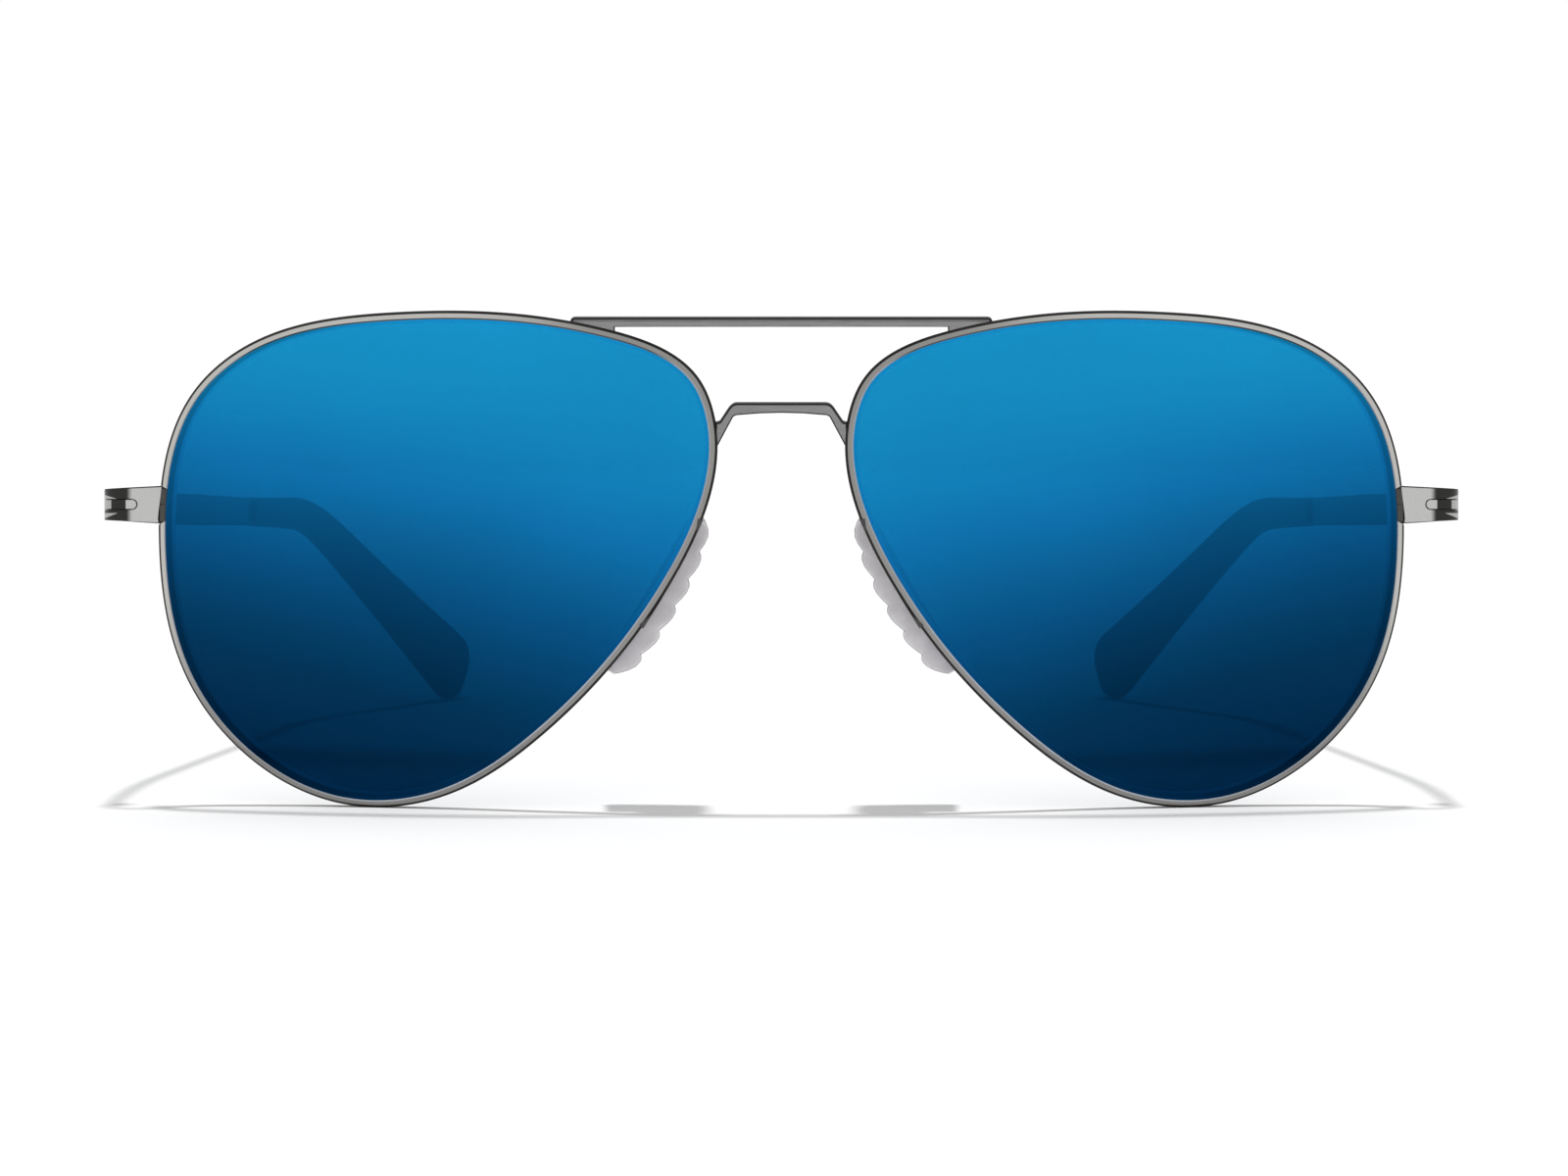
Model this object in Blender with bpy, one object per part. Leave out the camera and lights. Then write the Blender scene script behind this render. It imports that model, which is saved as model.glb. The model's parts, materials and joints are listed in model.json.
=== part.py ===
"""Aviator sunglasses with a top bar, folding temples and mirror lenses.

The glasses stand open on a table, on the bottoms of both rims and both temple tips.
+X is the wearer's left, +Y runs back towards the ears and +Z is up. Lengths are in metres.

Each half is drawn once, for the wearer's left, and mirrored for the right:
  side frame   the middle of the front, at the height of the lens centre
  lens frame   the middle of a lens, turned back by the wrap
  end frame    the rim's outer front edge at the hinge's height, tipped down with the temple
  hinge frame  the hinge screw's axis, which a temple turns about
  pad frame    the middle of the nose pad's plate, along the rim's inner edge
"""

from math import asin, cos, pi, radians, sin, sqrt, tan

import bmesh
import bpy
import numpy as np
from mathutils import Matrix, Vector

# Lenses
LENS_WIDTH = 0.058
LENS_HEIGHT = 0.0515
LENS_THICKNESS = 0.002
LENS_DISTANCE = 0.0146  # between the two lenses, across the nose
LENS_WRAP = radians(6.0)
BASE_RADIUS = 0.0883  # a base 6 curve
BEVEL_REACH = 0.0004
BEVEL_HALF = 0.0005

# The lens outline, as shares of half the width outwards and half the height upwards
LENS_OUTLINE = (
    (0.145, 0.990), (0.683, 0.839), (0.862, 0.664), (0.993, 0.027), (0.879, -0.548), (0.379, -0.983),
    (-0.031, -0.940), (-0.383, -0.680), (-0.824, -0.093), (-0.983, 0.606), (-0.938, 0.726), (-0.617, 0.928),
)
OUTLINE_STEPS = 96
SPAN_STEPS = 24

# Rims
RIM_WALL = 0.00043  # metal outside the tip of the lens bevel
RIM_DEPTH = 0.002
RIM_ROUNDING = 0.00025
RIM_CHAMFER = 0.0001

# Gaps: between seated or brazed pieces, and between pieces that turn
SEAT_GAP = 0.00005
TURN_GAP = 0.00005

# Top bar
BAR_STAND = 0.00034  # its ends stop where the rim has fallen this far below its top
BAR_HEIGHT = 0.00097
BAR_DEPTH = 0.0014
BAR_BELOW_RIM = 0.0007
BAR_FOOT = 0.0046  # length brazed along each rim
BAR_CORNER = 0.0005
BAR_EDGE = 0.00012

# Bridge
BRIDGE_TOP = 0.01667
BRIDGE_THICKNESS = 0.00102
BRIDGE_DEPTH = 0.0013
BRIDGE_FLAT = 0.0046  # half the flat top
BRIDGE_ARCH = 0.00025
BRIDGE_LEG_DROP = 0.0045
BRIDGE_LEG_ROOT = 0.0025  # height of a leg where it meets the rim
BRIDGE_EDGE = 0.00015

# End pieces, from the rim round to the hinge
PANTOSCOPIC_TILT = radians(9.0)
HINGE_HEIGHT = 0.0054  # above the lens centre
END_REACH = 0.006
END_SETBACK = 0.00015
END_WALL = 0.001
END_CORNER = 0.0029
END_HEIGHT_AT_RIM = 0.00385
END_HEIGHT_AT_HINGE = 0.00325
HINGE_DEPTH = 0.0048
KNUCKLE_RADIUS = 0.00135
TONGUE_HEIGHT = 0.001
TONGUE_REACH = 0.0037  # from the outer face to the tongue's tip

# Closing blocks, which hold the split rim shut round the lens
BLOCK_HEIGHT = 0.0042
BLOCK_SLANT = radians(28.8)  # of a block's ends, across the block
BLOCK_SPLIT = 0.00006
BLOCK_INNER = 0.0013
BLOCK_OUTER = 0.0012
BLOCK_DEPTH = 0.0023
BLOCK_CHAMFER = 0.00025

# Screws
SCREW_RADIUS = 0.0006
SCREW_HEAD_RADIUS = 0.00095
SCREW_HEAD_HEIGHT = 0.0004
SCREW_SLOT_WIDTH = 0.00026
SCREW_SLOT_DEPTH = 0.0002
SCREW_COVER = 0.0003  # metal left under the screw's end
ROUND_STEPS = 24

# Nose pads and the plates that carry them
PAD_PLATE_TOP = 0.0047  # heights above the lens centre, along the rim's inner edge
PAD_PLATE_BOTTOM = -0.0066
PAD_PLATE_THICKNESS = 0.00065
PAD_PLATE_PROUD_TOP = 0.0003  # how far its ends stand inwards of the rim
PAD_PLATE_PROUD_BOTTOM = 0.00045
PAD_PLATE_BOW = 0.00025  # towards the nose, like the rim
PAD_PLATE_FRONT = 0.0011
PAD_PLATE_BACK = 0.0056
PAD_PLATE_EDGE = 0.00012
PAD_TOP = 0.0062
PAD_BOTTOM = -0.0123
PAD_CREST = 0.0024
PAD_CREST_HEIGHT = -0.0026
PAD_BEND_RADIUS = 0.036
PAD_SIDE = 0.00095  # how far its plain side stands outwards of the plate's inner face
PAD_SIDE_RADIUS = 0.11
PAD_BEHIND_RIM = 0.0008
PAD_DEPTH = 0.0072
PAD_ROUNDING = 0.0004
PAD_LOBES = 6
PAD_LOBE_RISE = 0.0005
PAD_TOP_FALL = 0.0005  # how far the lobes at its ends fall away towards the rim
PAD_BOTTOM_FALL = 0.0008
PAD_SIDE_FALL = 0.0005
LOBE_PHASES = (0.0, 0.08, 0.2, 0.42, 0.66, 0.85)

# Temples, measured along their middle line from the hinge screw
TEMPLE_LENGTH = 0.140
ARM_START = 0.0016
ARM_THICKNESS = 0.0012
ARM_DROP = 0.0001  # its middle line lies this far below the hinge's middle
ARM_HEIGHT_AT_HINGE = 0.0029
ARM_HEIGHT = 0.0035
ARM_HEIGHT_AT_TIP = 0.0032
ARM_SWELL = 0.040  # where the arm is tallest
ARM_ROUNDING = 0.0003
TIP_START = 0.0685
BEND_START = 0.0913
BEND_LENGTH = 0.014
TOE_IN = radians(8.9)
TIP_TOE_IN = radians(28.0)
TIP_DROP = radians(30.0)
CORE_END = 0.116
CORE_HEIGHT = 0.002
CORE_THICKNESS = 0.0009
CORE_ROUNDING = 0.0002
TIP_HEIGHT_AT_START = 0.0034
TIP_HEIGHT_AT_END = 0.0088
TIP_FLARE = 2.2  # above 1, the tip widens late
TIP_THICKNESS = 0.0025
TIP_END_LENGTH = 0.004  # the rounded end
TIP_ROUNDING = 0.001
TIP_LIP = 0.0003
PATH_STEPS = 276
ARM_STATIONS = 9
CORE_STATIONS = 11
TIP_STATIONS = 15
TIP_END_STATIONS = 5

METAL = ("gunmetal", (0.33, 0.33, 0.33, 1.0), 1.0, 0.32)
DARK_METAL = ("dark_gunmetal", (0.09, 0.09, 0.09, 1.0), 1.0, 0.38)
MIRROR = ("blue_mirror", (0.01, 0.28, 0.56, 1.0), 0.6, 0.08)
PAD_RUBBER = ("clear_rubber", (0.70, 0.69, 0.71, 1.0), 0.0, 0.45)
TIP_RUBBER = ("black_rubber", (0.03, 0.03, 0.035, 1.0), 0.0, 0.55)


# ---------------------------------------------------------------- curves and outlines


def closed_curve(knots, count):
    """Points at even steps along the smooth closed cubic curve through the knots."""
    knots = np.array(knots)
    size = len(knots)
    spans = np.linalg.norm(np.roll(knots, -1, axis=0) - knots, axis=1)
    system = np.zeros((size, size))
    target = np.zeros((size, 2))
    for i in range(size):
        after = (i + 1) % size
        system[i, i - 1] += spans[i - 1]
        system[i, i] += 2 * (spans[i - 1] + spans[i])
        system[i, after] += spans[i]
        target[i] = 6 * (knots[after] - knots[i]) / spans[i] - 6 * (knots[i] - knots[i - 1]) / spans[i - 1]
    bend = np.linalg.solve(system, target)

    dense = []
    for i in range(size):
        after = (i + 1) % size
        for share in np.arange(SPAN_STEPS) / SPAN_STEPS:
            rest = 1 - share
            straight = rest * knots[i] + share * knots[after]
            curve = (rest ** 3 - rest) * bend[i] + (share ** 3 - share) * bend[after]
            dense.append(straight + curve * spans[i] ** 2 / 6)
    dense.append(dense[0])
    dense = np.array(dense)
    travelled = np.concatenate(([0], np.cumsum(np.linalg.norm(np.diff(dense, axis=0), axis=1))))
    steps = np.arange(count) * travelled[-1] / count
    return np.stack([np.interp(steps, travelled, dense[:, axis]) for axis in (0, 1)], axis=1)


def lens_edge(offset):
    """The lens outline at the bevel's tip, moved outwards by offset, clockwise from the front."""
    half = np.array((LENS_WIDTH / 2, LENS_HEIGHT / 2))
    edge = closed_curve(np.array(LENS_OUTLINE) * half, OUTLINE_STEPS)
    along = np.roll(edge, -1, axis=0) - np.roll(edge, 1, axis=0)
    along /= np.linalg.norm(along, axis=1)[:, None]
    outwards = np.stack([-along[:, 1], along[:, 0]], axis=1)
    return edge + offset * outwards


def nasal_edge(height, offset):
    """How far across the lens its nasal edge lies at a height."""
    edge = lens_edge(offset)
    crossings = []
    for start, end in zip(edge, np.roll(edge, -1, axis=0)):
        if (start[1] - height) * (end[1] - height) <= 0 and start[1] != end[1]:
            share = (height - start[1]) / (end[1] - start[1])
            crossings.append(start[0] + share * (end[0] - start[0]))
    return min(crossings)


def on_sphere(across, up, depth):
    """A lens-frame point at a depth behind the lens's front surface."""
    forwards = -sqrt(BASE_RADIUS ** 2 - across ** 2 - up ** 2)
    normal = Vector((across, forwards, up)) / BASE_RADIUS
    return Vector((0, BASE_RADIUS, 0)) + normal * (BASE_RADIUS - depth)


def arc(centre, radius, start, end, steps):
    """Points on an arc; the angles are in degrees."""
    angles = [radians(start + (end - start) * i / steps) for i in range(steps + 1)]
    return [(centre[0] + radius * cos(a), centre[1] + radius * sin(a)) for a in angles]


# ---------------------------------------------------------------- frames


def lens_frame():
    nasal = Matrix.Rotation(LENS_WRAP, 4, "Z") @ on_sphere(-LENS_WIDTH / 2, 0, LENS_THICKNESS / 2)
    return Matrix.Translation((LENS_DISTANCE / 2 - nasal.x, 0, 0)) @ Matrix.Rotation(LENS_WRAP, 4, "Z")


LENS_FRAME = lens_frame()


def on_rim(across, up, depth=0.0):
    """A side-frame point on the rim's front face, or at a depth behind it."""
    front = (LENS_THICKNESS - RIM_DEPTH) / 2
    return LENS_FRAME @ on_sphere(across, up, front + depth)


def end_frame():
    edge = lens_edge(RIM_WALL)
    outer = edge[np.argmin(np.abs(edge[:, 1] - HINGE_HEIGHT) - edge[:, 0])]
    corner = on_rim(outer[0], HINGE_HEIGHT)
    return Matrix.Translation((corner.x, corner.y, HINGE_HEIGHT)) @ Matrix.Rotation(-PANTOSCOPIC_TILT, 4, "X")


def pad_plate_ends():
    """The bottom and top of the pad's plate, on the rim's inner edge at half its depth."""
    ends = []
    for height, proud in ((PAD_PLATE_BOTTOM, PAD_PLATE_PROUD_BOTTOM), (PAD_PLATE_TOP, PAD_PLATE_PROUD_TOP)):
        point = on_rim(nasal_edge(height, RIM_WALL), height, RIM_DEPTH / 2)
        ends.append(point - Vector((proud, 0, 0)))
    return ends


def pad_frame():
    bottom, top = pad_plate_ends()
    up = (top - bottom).normalized()
    across = Vector((0, 1, 0)).cross(up).normalized()
    turn = Matrix((across, up.cross(across), up)).transposed().to_4x4()
    return Matrix.Translation((bottom + top) / 2) @ turn


END_FRAME = end_frame()
PIN = Vector((END_REACH - KNUCKLE_RADIUS, HINGE_DEPTH, 0))
PAD_FRAME = pad_frame()
PAD_PLATE_HALF = (pad_plate_ends()[1] - pad_plate_ends()[0]).length / 2


# ---------------------------------------------------------------- mesh tools


def mesh_from(bm, name):
    bmesh.ops.recalc_face_normals(bm, faces=bm.faces)
    mesh = bpy.data.meshes.new(name)
    bm.to_mesh(mesh)
    bm.free()
    return mesh


def loft(rings, name, closed=False):
    """A closed surface through rings of points, capped at both ends or joined end to start."""
    bm = bmesh.new()
    loops = [[bm.verts.new(point) for point in ring] for ring in rings]
    pairs = list(zip(loops, loops[1:]))
    if closed:
        pairs.append((loops[-1], loops[0]))
    for first, second in pairs:
        for i, corner in enumerate(first):
            after = (i + 1) % len(first)
            bm.faces.new((corner, first[after], second[after], second[i]))
    if not closed:
        bm.faces.new(loops[0])
        bm.faces.new(loops[-1])
    return mesh_from(bm, name)


def prism(outline, low, high, normal, name, edge=0.0):
    """An outline pushed from low to high along an axis, with its rims bevelled by edge."""
    bm = bmesh.new()
    order = {"Z": lambda a, b, level: (a, b, level), "Y": lambda a, b, level: (a, level, b)}[normal]
    bottom = bm.faces.new([bm.verts.new(order(a, b, low)) for a, b in outline])
    pushed = bmesh.ops.extrude_face_region(bm, geom=[bottom])["geom"]
    top = [item for item in pushed if isinstance(item, bmesh.types.BMFace)][0]
    bmesh.ops.translate(bm, vec=order(0, 0, high - low), verts=top.verts)
    if edge:
        around = list(bottom.edges) + list(top.edges)
        bmesh.ops.bevel(bm, geom=around, offset=edge, segments=2, profile=0.5, affect="EDGES")
    return mesh_from(bm, name)


def cylinder(centre, radius, low, high, name):
    """An upright cylinder."""
    return prism(arc(centre, radius, 0, 360 - 360 / ROUND_STEPS, ROUND_STEPS - 1), low, high, "Z", name)


def moved(mesh, matrix):
    """A copy of a mesh in another frame."""
    copy = mesh.copy()
    copy.transform(matrix)
    if matrix.determinant() < 0:
        copy.flip_normals()
    return copy


def carve(mesh, tools, operation="DIFFERENCE"):
    """A mesh after a Boolean with each tool in turn."""
    body = bpy.data.objects.new("body", mesh)
    helpers = [body]
    for tool in tools:
        helper = bpy.data.objects.new("tool", tool)
        helpers.append(helper)
        cut = body.modifiers.new("cut", "BOOLEAN")
        cut.object = helper
        cut.operation = operation
    for helper in helpers:
        bpy.context.scene.collection.objects.link(helper)
    depsgraph = bpy.context.evaluated_depsgraph_get()
    result = bpy.data.meshes.new_from_object(body.evaluated_get(depsgraph))
    result.name = mesh.name
    for helper in helpers:
        bpy.data.objects.remove(helper)
    return result


# ---------------------------------------------------------------- rims and lenses


def ring_section(section):
    """Rings of lens-frame points: the section, as (offset, depth) pairs, at each step of the outline."""
    edges = [lens_edge(offset) for offset, depth in section]
    return [
        [on_sphere(edge[step][0], edge[step][1], depth) for edge, (offset, depth) in zip(edges, section)]
        for step in range(OUTLINE_STEPS)
    ]


def rim_tube():
    """The whole rim before it is split: a channel section with a V groove for the bevel."""
    middle = LENS_THICKNESS / 2
    front = middle - RIM_DEPTH / 2
    back = middle + RIM_DEPTH / 2
    inner = SEAT_GAP - BEVEL_REACH
    soft = RIM_ROUNDING * (1 - sqrt(0.5))
    section = (
        (inner, front + RIM_CHAMFER),
        (inner + RIM_CHAMFER, front),
        (RIM_WALL - RIM_ROUNDING, front),
        (RIM_WALL - soft, front + soft),
        (RIM_WALL, front + RIM_ROUNDING),
        (RIM_WALL, back - RIM_ROUNDING),
        (RIM_WALL - RIM_ROUNDING, back),
        (inner, back),
        (inner, middle + BEVEL_HALF),
        (SEAT_GAP, middle),
        (inner, middle - BEVEL_HALF),
    )
    return loft(ring_section(section), "rim", closed=True)


def rim_envelope():
    """The space that brazed neighbours leave free round the rim, in the side frame."""
    middle = LENS_THICKNESS / 2
    reach = RIM_DEPTH / 2 + SEAT_GAP
    inner = -BEVEL_REACH
    outer = RIM_WALL + SEAT_GAP
    section = ((inner, middle - reach), (outer, middle - reach), (outer, middle + reach), (inner, middle + reach))
    return moved(loft(ring_section(section), "rim_envelope", closed=True), LENS_FRAME)


def block_end(across):
    """Half the height of the closing block at a place across it: its ends slant."""
    return BLOCK_HEIGHT / 2 + tan(BLOCK_SLANT) * across


def rim():
    """The rim, split where the closing blocks take its ends."""
    inner = -RIM_DEPTH
    outer = RIM_DEPTH
    low = block_end(inner) + SEAT_GAP
    high = block_end(outer) + SEAT_GAP
    opening = prism(
        ((inner, -low), (outer, -high), (outer, high), (inner, low)), -RIM_DEPTH, 2 * RIM_DEPTH, "Y", "opening"
    )
    return carve(rim_tube(), [moved(opening, LENS_FRAME.inverted() @ END_FRAME)])


def lens():
    """A curved lens of even thickness with a V bevel round its edge."""
    back = LENS_THICKNESS
    middle = back / 2
    seat = np.array(lens_edge(-BEVEL_REACH))
    rings = []
    for depth, shares in ((0.0, (1 / 3, 2 / 3, 1.0)), (back, (1.0, 2 / 3, 1 / 3))):
        if depth:
            rings.append([on_sphere(x, y, middle - BEVEL_HALF) for x, y in seat])
            rings.append([on_sphere(x, y, middle) for x, y in lens_edge(0.0)])
            rings.append([on_sphere(x, y, middle + BEVEL_HALF) for x, y in seat])
        rings += [[on_sphere(x, y, depth) for x, y in seat * share] for share in shares]
    mesh = loft(rings, "lens")
    bm = bmesh.new()
    bm.from_mesh(mesh)
    caps = [face for face in bm.faces if len(face.verts) > 4]
    for cap in caps:
        depth = 0.0 if cap.calc_center_median().y < middle else back
        centre = bmesh.ops.poke(bm, faces=[cap])["verts"][0]
        centre.co = on_sphere(0, 0, depth)
    return mesh_from(bm, "lens")


# ---------------------------------------------------------------- bridge and top bar


def both_rims():
    envelope = rim_envelope()
    return [envelope, moved(envelope, Matrix.Scale(-1, 4, (1, 0, 0)))]


def rim_side(height, offset):
    """How far from the middle a rim's nasal side lies at a height, offset from the lens's edge."""
    return on_rim(nasal_edge(height, offset), height).x


def top_bar():
    """A straight bar whose ends run out on the rims, each with a foot brazed along the rim."""
    top = LENS_HEIGHT / 2 + RIM_WALL - BAR_BELOW_RIM
    bottom = top - BAR_HEIGHT
    end = rim_side(top - BAR_STAND, RIM_WALL)
    foot_start = end - BAR_FOOT
    edge = [on_rim(x, y) for x, y in lens_edge(0.0) if y > 0]
    foot = sorted((point.x, point.z) for point in edge if foot_start < point.x < end)
    half = [(foot_start, bottom), (foot_start, foot[0][1])] + foot + [(end, foot[-1][1])]
    half += arc((end - BAR_CORNER, top - BAR_CORNER), BAR_CORNER, 0, 90, 4)
    outline = half + [(-x, z) for x, z in reversed(half)]
    middle = on_rim(nasal_edge(top, RIM_WALL), top, RIM_DEPTH / 2).y
    bar = prism(outline, middle - BAR_DEPTH / 2, middle + BAR_DEPTH / 2, "Y", "top_bar", BAR_EDGE)
    return carve(bar, both_rims())


def bridge():
    """A flat-topped bridge whose legs widen down to the rims."""
    root = BRIDGE_TOP - BRIDGE_LEG_DROP
    crotch = root + BRIDGE_LEG_ROOT
    underside = BRIDGE_TOP - BRIDGE_THICKNESS
    on_crotch = rim_side(crotch, RIM_WALL)
    half = [
        (0, BRIDGE_TOP),
        (BRIDGE_FLAT, BRIDGE_TOP),
        (BRIDGE_FLAT + 0.30 * BRIDGE_THICKNESS, BRIDGE_TOP - 0.06 * BRIDGE_THICKNESS),
        (BRIDGE_FLAT + 0.55 * BRIDGE_THICKNESS, BRIDGE_TOP - 0.22 * BRIDGE_THICKNESS),
        (BRIDGE_FLAT + 0.80 * BRIDGE_THICKNESS, BRIDGE_TOP - 0.48 * BRIDGE_THICKNESS),
        (on_crotch - 0.45 * BRIDGE_THICKNESS, crotch + 0.10 * BRIDGE_THICKNESS),
        (on_crotch - 0.20 * BRIDGE_THICKNESS, crotch),
        (rim_side(crotch, 0.0), crotch),
        (rim_side(root, 0.0), root),
        (rim_side(root, RIM_WALL), root),
        (BRIDGE_FLAT + 0.35 * BRIDGE_THICKNESS, underside - 1.6 * BRIDGE_ARCH),
        (BRIDGE_FLAT + 0.05 * BRIDGE_THICKNESS, underside - BRIDGE_ARCH),
        (BRIDGE_FLAT / 2, underside - BRIDGE_ARCH / 4),
        (0, underside),
    ]
    outline = half + [(-x, z) for x, z in reversed(half[1:-1])]
    middle = on_rim(nasal_edge(root, RIM_WALL), root, RIM_DEPTH / 2).y
    bow = prism(outline, middle - BRIDGE_DEPTH / 2, middle + BRIDGE_DEPTH / 2, "Y", "bridge", BRIDGE_EDGE)
    return carve(bow, both_rims())


# ---------------------------------------------------------------- end pieces and closing blocks


def end_contour(tail):
    """The end piece's bent plate in plan, from its inner end round to tail, a list of hinge points."""
    corner = (END_REACH - END_CORNER, END_SETBACK + END_CORNER)
    outer = arc(corner, END_CORNER, -90, 0, 8)
    inner = arc(corner, END_CORNER - END_WALL, 0, -90, 8)
    front = END_SETBACK
    back = END_SETBACK + END_WALL
    slope = tan(LENS_WRAP + asin(LENS_WIDTH / 2 / BASE_RADIUS))
    in_rim = [(-RIM_WALL / 2 - depth * slope, depth) for depth in (front, back)]
    return in_rim[:1] + outer + tail + inner + in_rim[1:]


def tongue_window(height):
    """A long window with a round inner end, seen from the front, running outwards past the corner."""
    tip = END_REACH - TONGUE_REACH - (height - TONGUE_HEIGHT) / 2
    radius = height / 2
    outline = arc((tip + radius, 0), radius, 90, 270, 10)
    far = END_REACH + END_CORNER
    return prism(outline + [(far, -radius), (far, radius)], -END_CORNER, HINGE_DEPTH + END_CORNER, "Y", "window")


def knuckle_tail(radius):
    """The plan of a knuckle from the plate's outer face round the pin to its inner face."""
    inner_face = END_REACH - END_WALL - PIN.x
    meet = 360 - np.degrees(np.arccos(inner_face / radius))
    return arc(PIN, radius, 0, meet, 14)


def end_piece():
    """A bent plate brazed to the rim, with two knuckles either side of the slot for the temple."""
    half = END_HEIGHT_AT_HINGE / 2
    plate = prism(end_contour(knuckle_tail(KNUCKLE_RADIUS)), -half, half, "Z", "end_piece", BAR_EDGE)
    growth = END_HEIGHT_AT_RIM / END_HEIGHT_AT_HINGE - 1
    for vertex in plate.vertices:
        vertex.co.z *= 1 + growth * max(0.0, 1 - vertex.co.x / END_REACH)
    recess = half - SCREW_HEAD_HEIGHT - SEAT_GAP
    tools = [
        moved(rim_envelope(), END_FRAME.inverted()),
        tongue_window(TONGUE_HEIGHT + 2 * TURN_GAP),
        cylinder(PIN, SCREW_RADIUS + TURN_GAP, SCREW_COVER - half, half + END_WALL, "screw_hole"),
        cylinder(PIN, SCREW_HEAD_RADIUS + TURN_GAP, recess, half + END_WALL, "head_recess"),
    ]
    return carve(plate, tools)


def block_screw_place():
    """Middle of the closing screw in the end frame."""
    return Vector(((BLOCK_OUTER - BLOCK_INNER) / 2, END_SETBACK + END_WALL + SEAT_GAP + BLOCK_DEPTH / 2, 0))


def closing_block(upper):
    """Half of the block that shuts the rim: a length of rim section with a lug for the screw behind."""
    inner = -RIM_DEPTH
    outer = RIM_DEPTH
    split = BLOCK_SPLIT / 2
    front = -RIM_DEPTH
    window = prism(
        ((inner, split), (outer, split), (outer, block_end(outer)), (inner, block_end(inner))),
        front, 2 * RIM_DEPTH, "Y", "window",
    )
    lug_front = END_SETBACK + END_WALL + SEAT_GAP
    lug_back = lug_front + BLOCK_DEPTH
    lug_top = block_end(-BLOCK_INNER)
    lug_outline = (
        (-BLOCK_INNER, lug_front),
        (BLOCK_OUTER, lug_front),
        (BLOCK_OUTER, lug_back - BLOCK_CHAMFER),
        (BLOCK_OUTER - BLOCK_CHAMFER, lug_back),
        (BLOCK_CHAMFER - BLOCK_INNER, lug_back),
        (-BLOCK_INNER, lug_back - BLOCK_CHAMFER),
    )
    lug = prism(lug_outline, split, lug_top, "Z", "lug")
    flip = Matrix.Scale(1 if upper else -1, 4, (0, 0, 1))
    tube = moved(rim_tube(), END_FRAME.inverted() @ LENS_FRAME)
    face = carve(tube, [moved(window, flip)], "INTERSECT")
    block = carve(face, [moved(lug, flip)], "UNION")
    centre = block_screw_place()
    hole = cylinder(centre, SCREW_RADIUS + SEAT_GAP, SCREW_COVER - lug_top, lug_top * 2, "screw_hole")
    recess = cylinder(
        centre, SCREW_HEAD_RADIUS + SEAT_GAP, lug_top - SCREW_HEAD_HEIGHT - SEAT_GAP, lug_top * 2, "head_recess"
    )
    block = carve(block, [hole, recess])
    block.name = "closing_block_upper" if upper else "closing_block_lower"
    return block


def screw(top, bottom, name):
    """A slotted screw whose head ends at top and whose shaft ends at bottom."""
    under_head = top - SCREW_HEAD_HEIGHT
    profile = (
        (SCREW_RADIUS - SEAT_GAP, bottom),
        (SCREW_RADIUS, bottom + SEAT_GAP),
        (SCREW_RADIUS, under_head),
        (SCREW_HEAD_RADIUS, under_head),
        (SCREW_HEAD_RADIUS, top - SEAT_GAP),
        (SCREW_HEAD_RADIUS - SEAT_GAP, top),
    )
    turns = [2 * pi * i / ROUND_STEPS for i in range(ROUND_STEPS)]
    body = loft([[(r * cos(a), r * sin(a), z) for a in turns] for r, z in profile], name)
    reach = 2 * SCREW_HEAD_RADIUS
    half = SCREW_SLOT_WIDTH / 2
    outline = ((-reach, -half), (reach, -half), (reach, half), (-reach, half))
    slot = prism(outline, top - SCREW_SLOT_DEPTH, top + SCREW_HEAD_HEIGHT, "Z", "slot")
    return carve(body, [slot])


def hinge_screw():
    half = END_HEIGHT_AT_HINGE / 2
    return screw(half - SEAT_GAP, SCREW_COVER + SEAT_GAP - half, "hinge_screw")


def closing_screw():
    top = block_end(-BLOCK_INNER)
    return screw(top - SEAT_GAP, SCREW_COVER + SEAT_GAP - top, "closing_screw")


# ---------------------------------------------------------------- nose pads


def plate_outline(gap):
    """The pad's plate seen along its depth, slightly bowed, with a gap all round."""
    inner = [
        (-PAD_PLATE_BOW * (1 - share ** 2) - gap, share * (PAD_PLATE_HALF + gap))
        for share in (-1.0, -0.5, 0.0, 0.5, 1.0)
    ]
    outer = [(x + PAD_PLATE_THICKNESS + 2 * gap, z) for x, z in inner]
    return outer + inner[::-1]


def pad_plate():
    """A thin plate brazed to the rim's inner edge, which reaches back into the pad."""
    plate = prism(
        plate_outline(0.0), -PAD_PLATE_FRONT, PAD_PLATE_BACK, "Y", "nose_pad_plate", PAD_PLATE_EDGE
    )
    return carve(plate, [moved(rim_envelope(), PAD_FRAME.inverted())])


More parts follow.
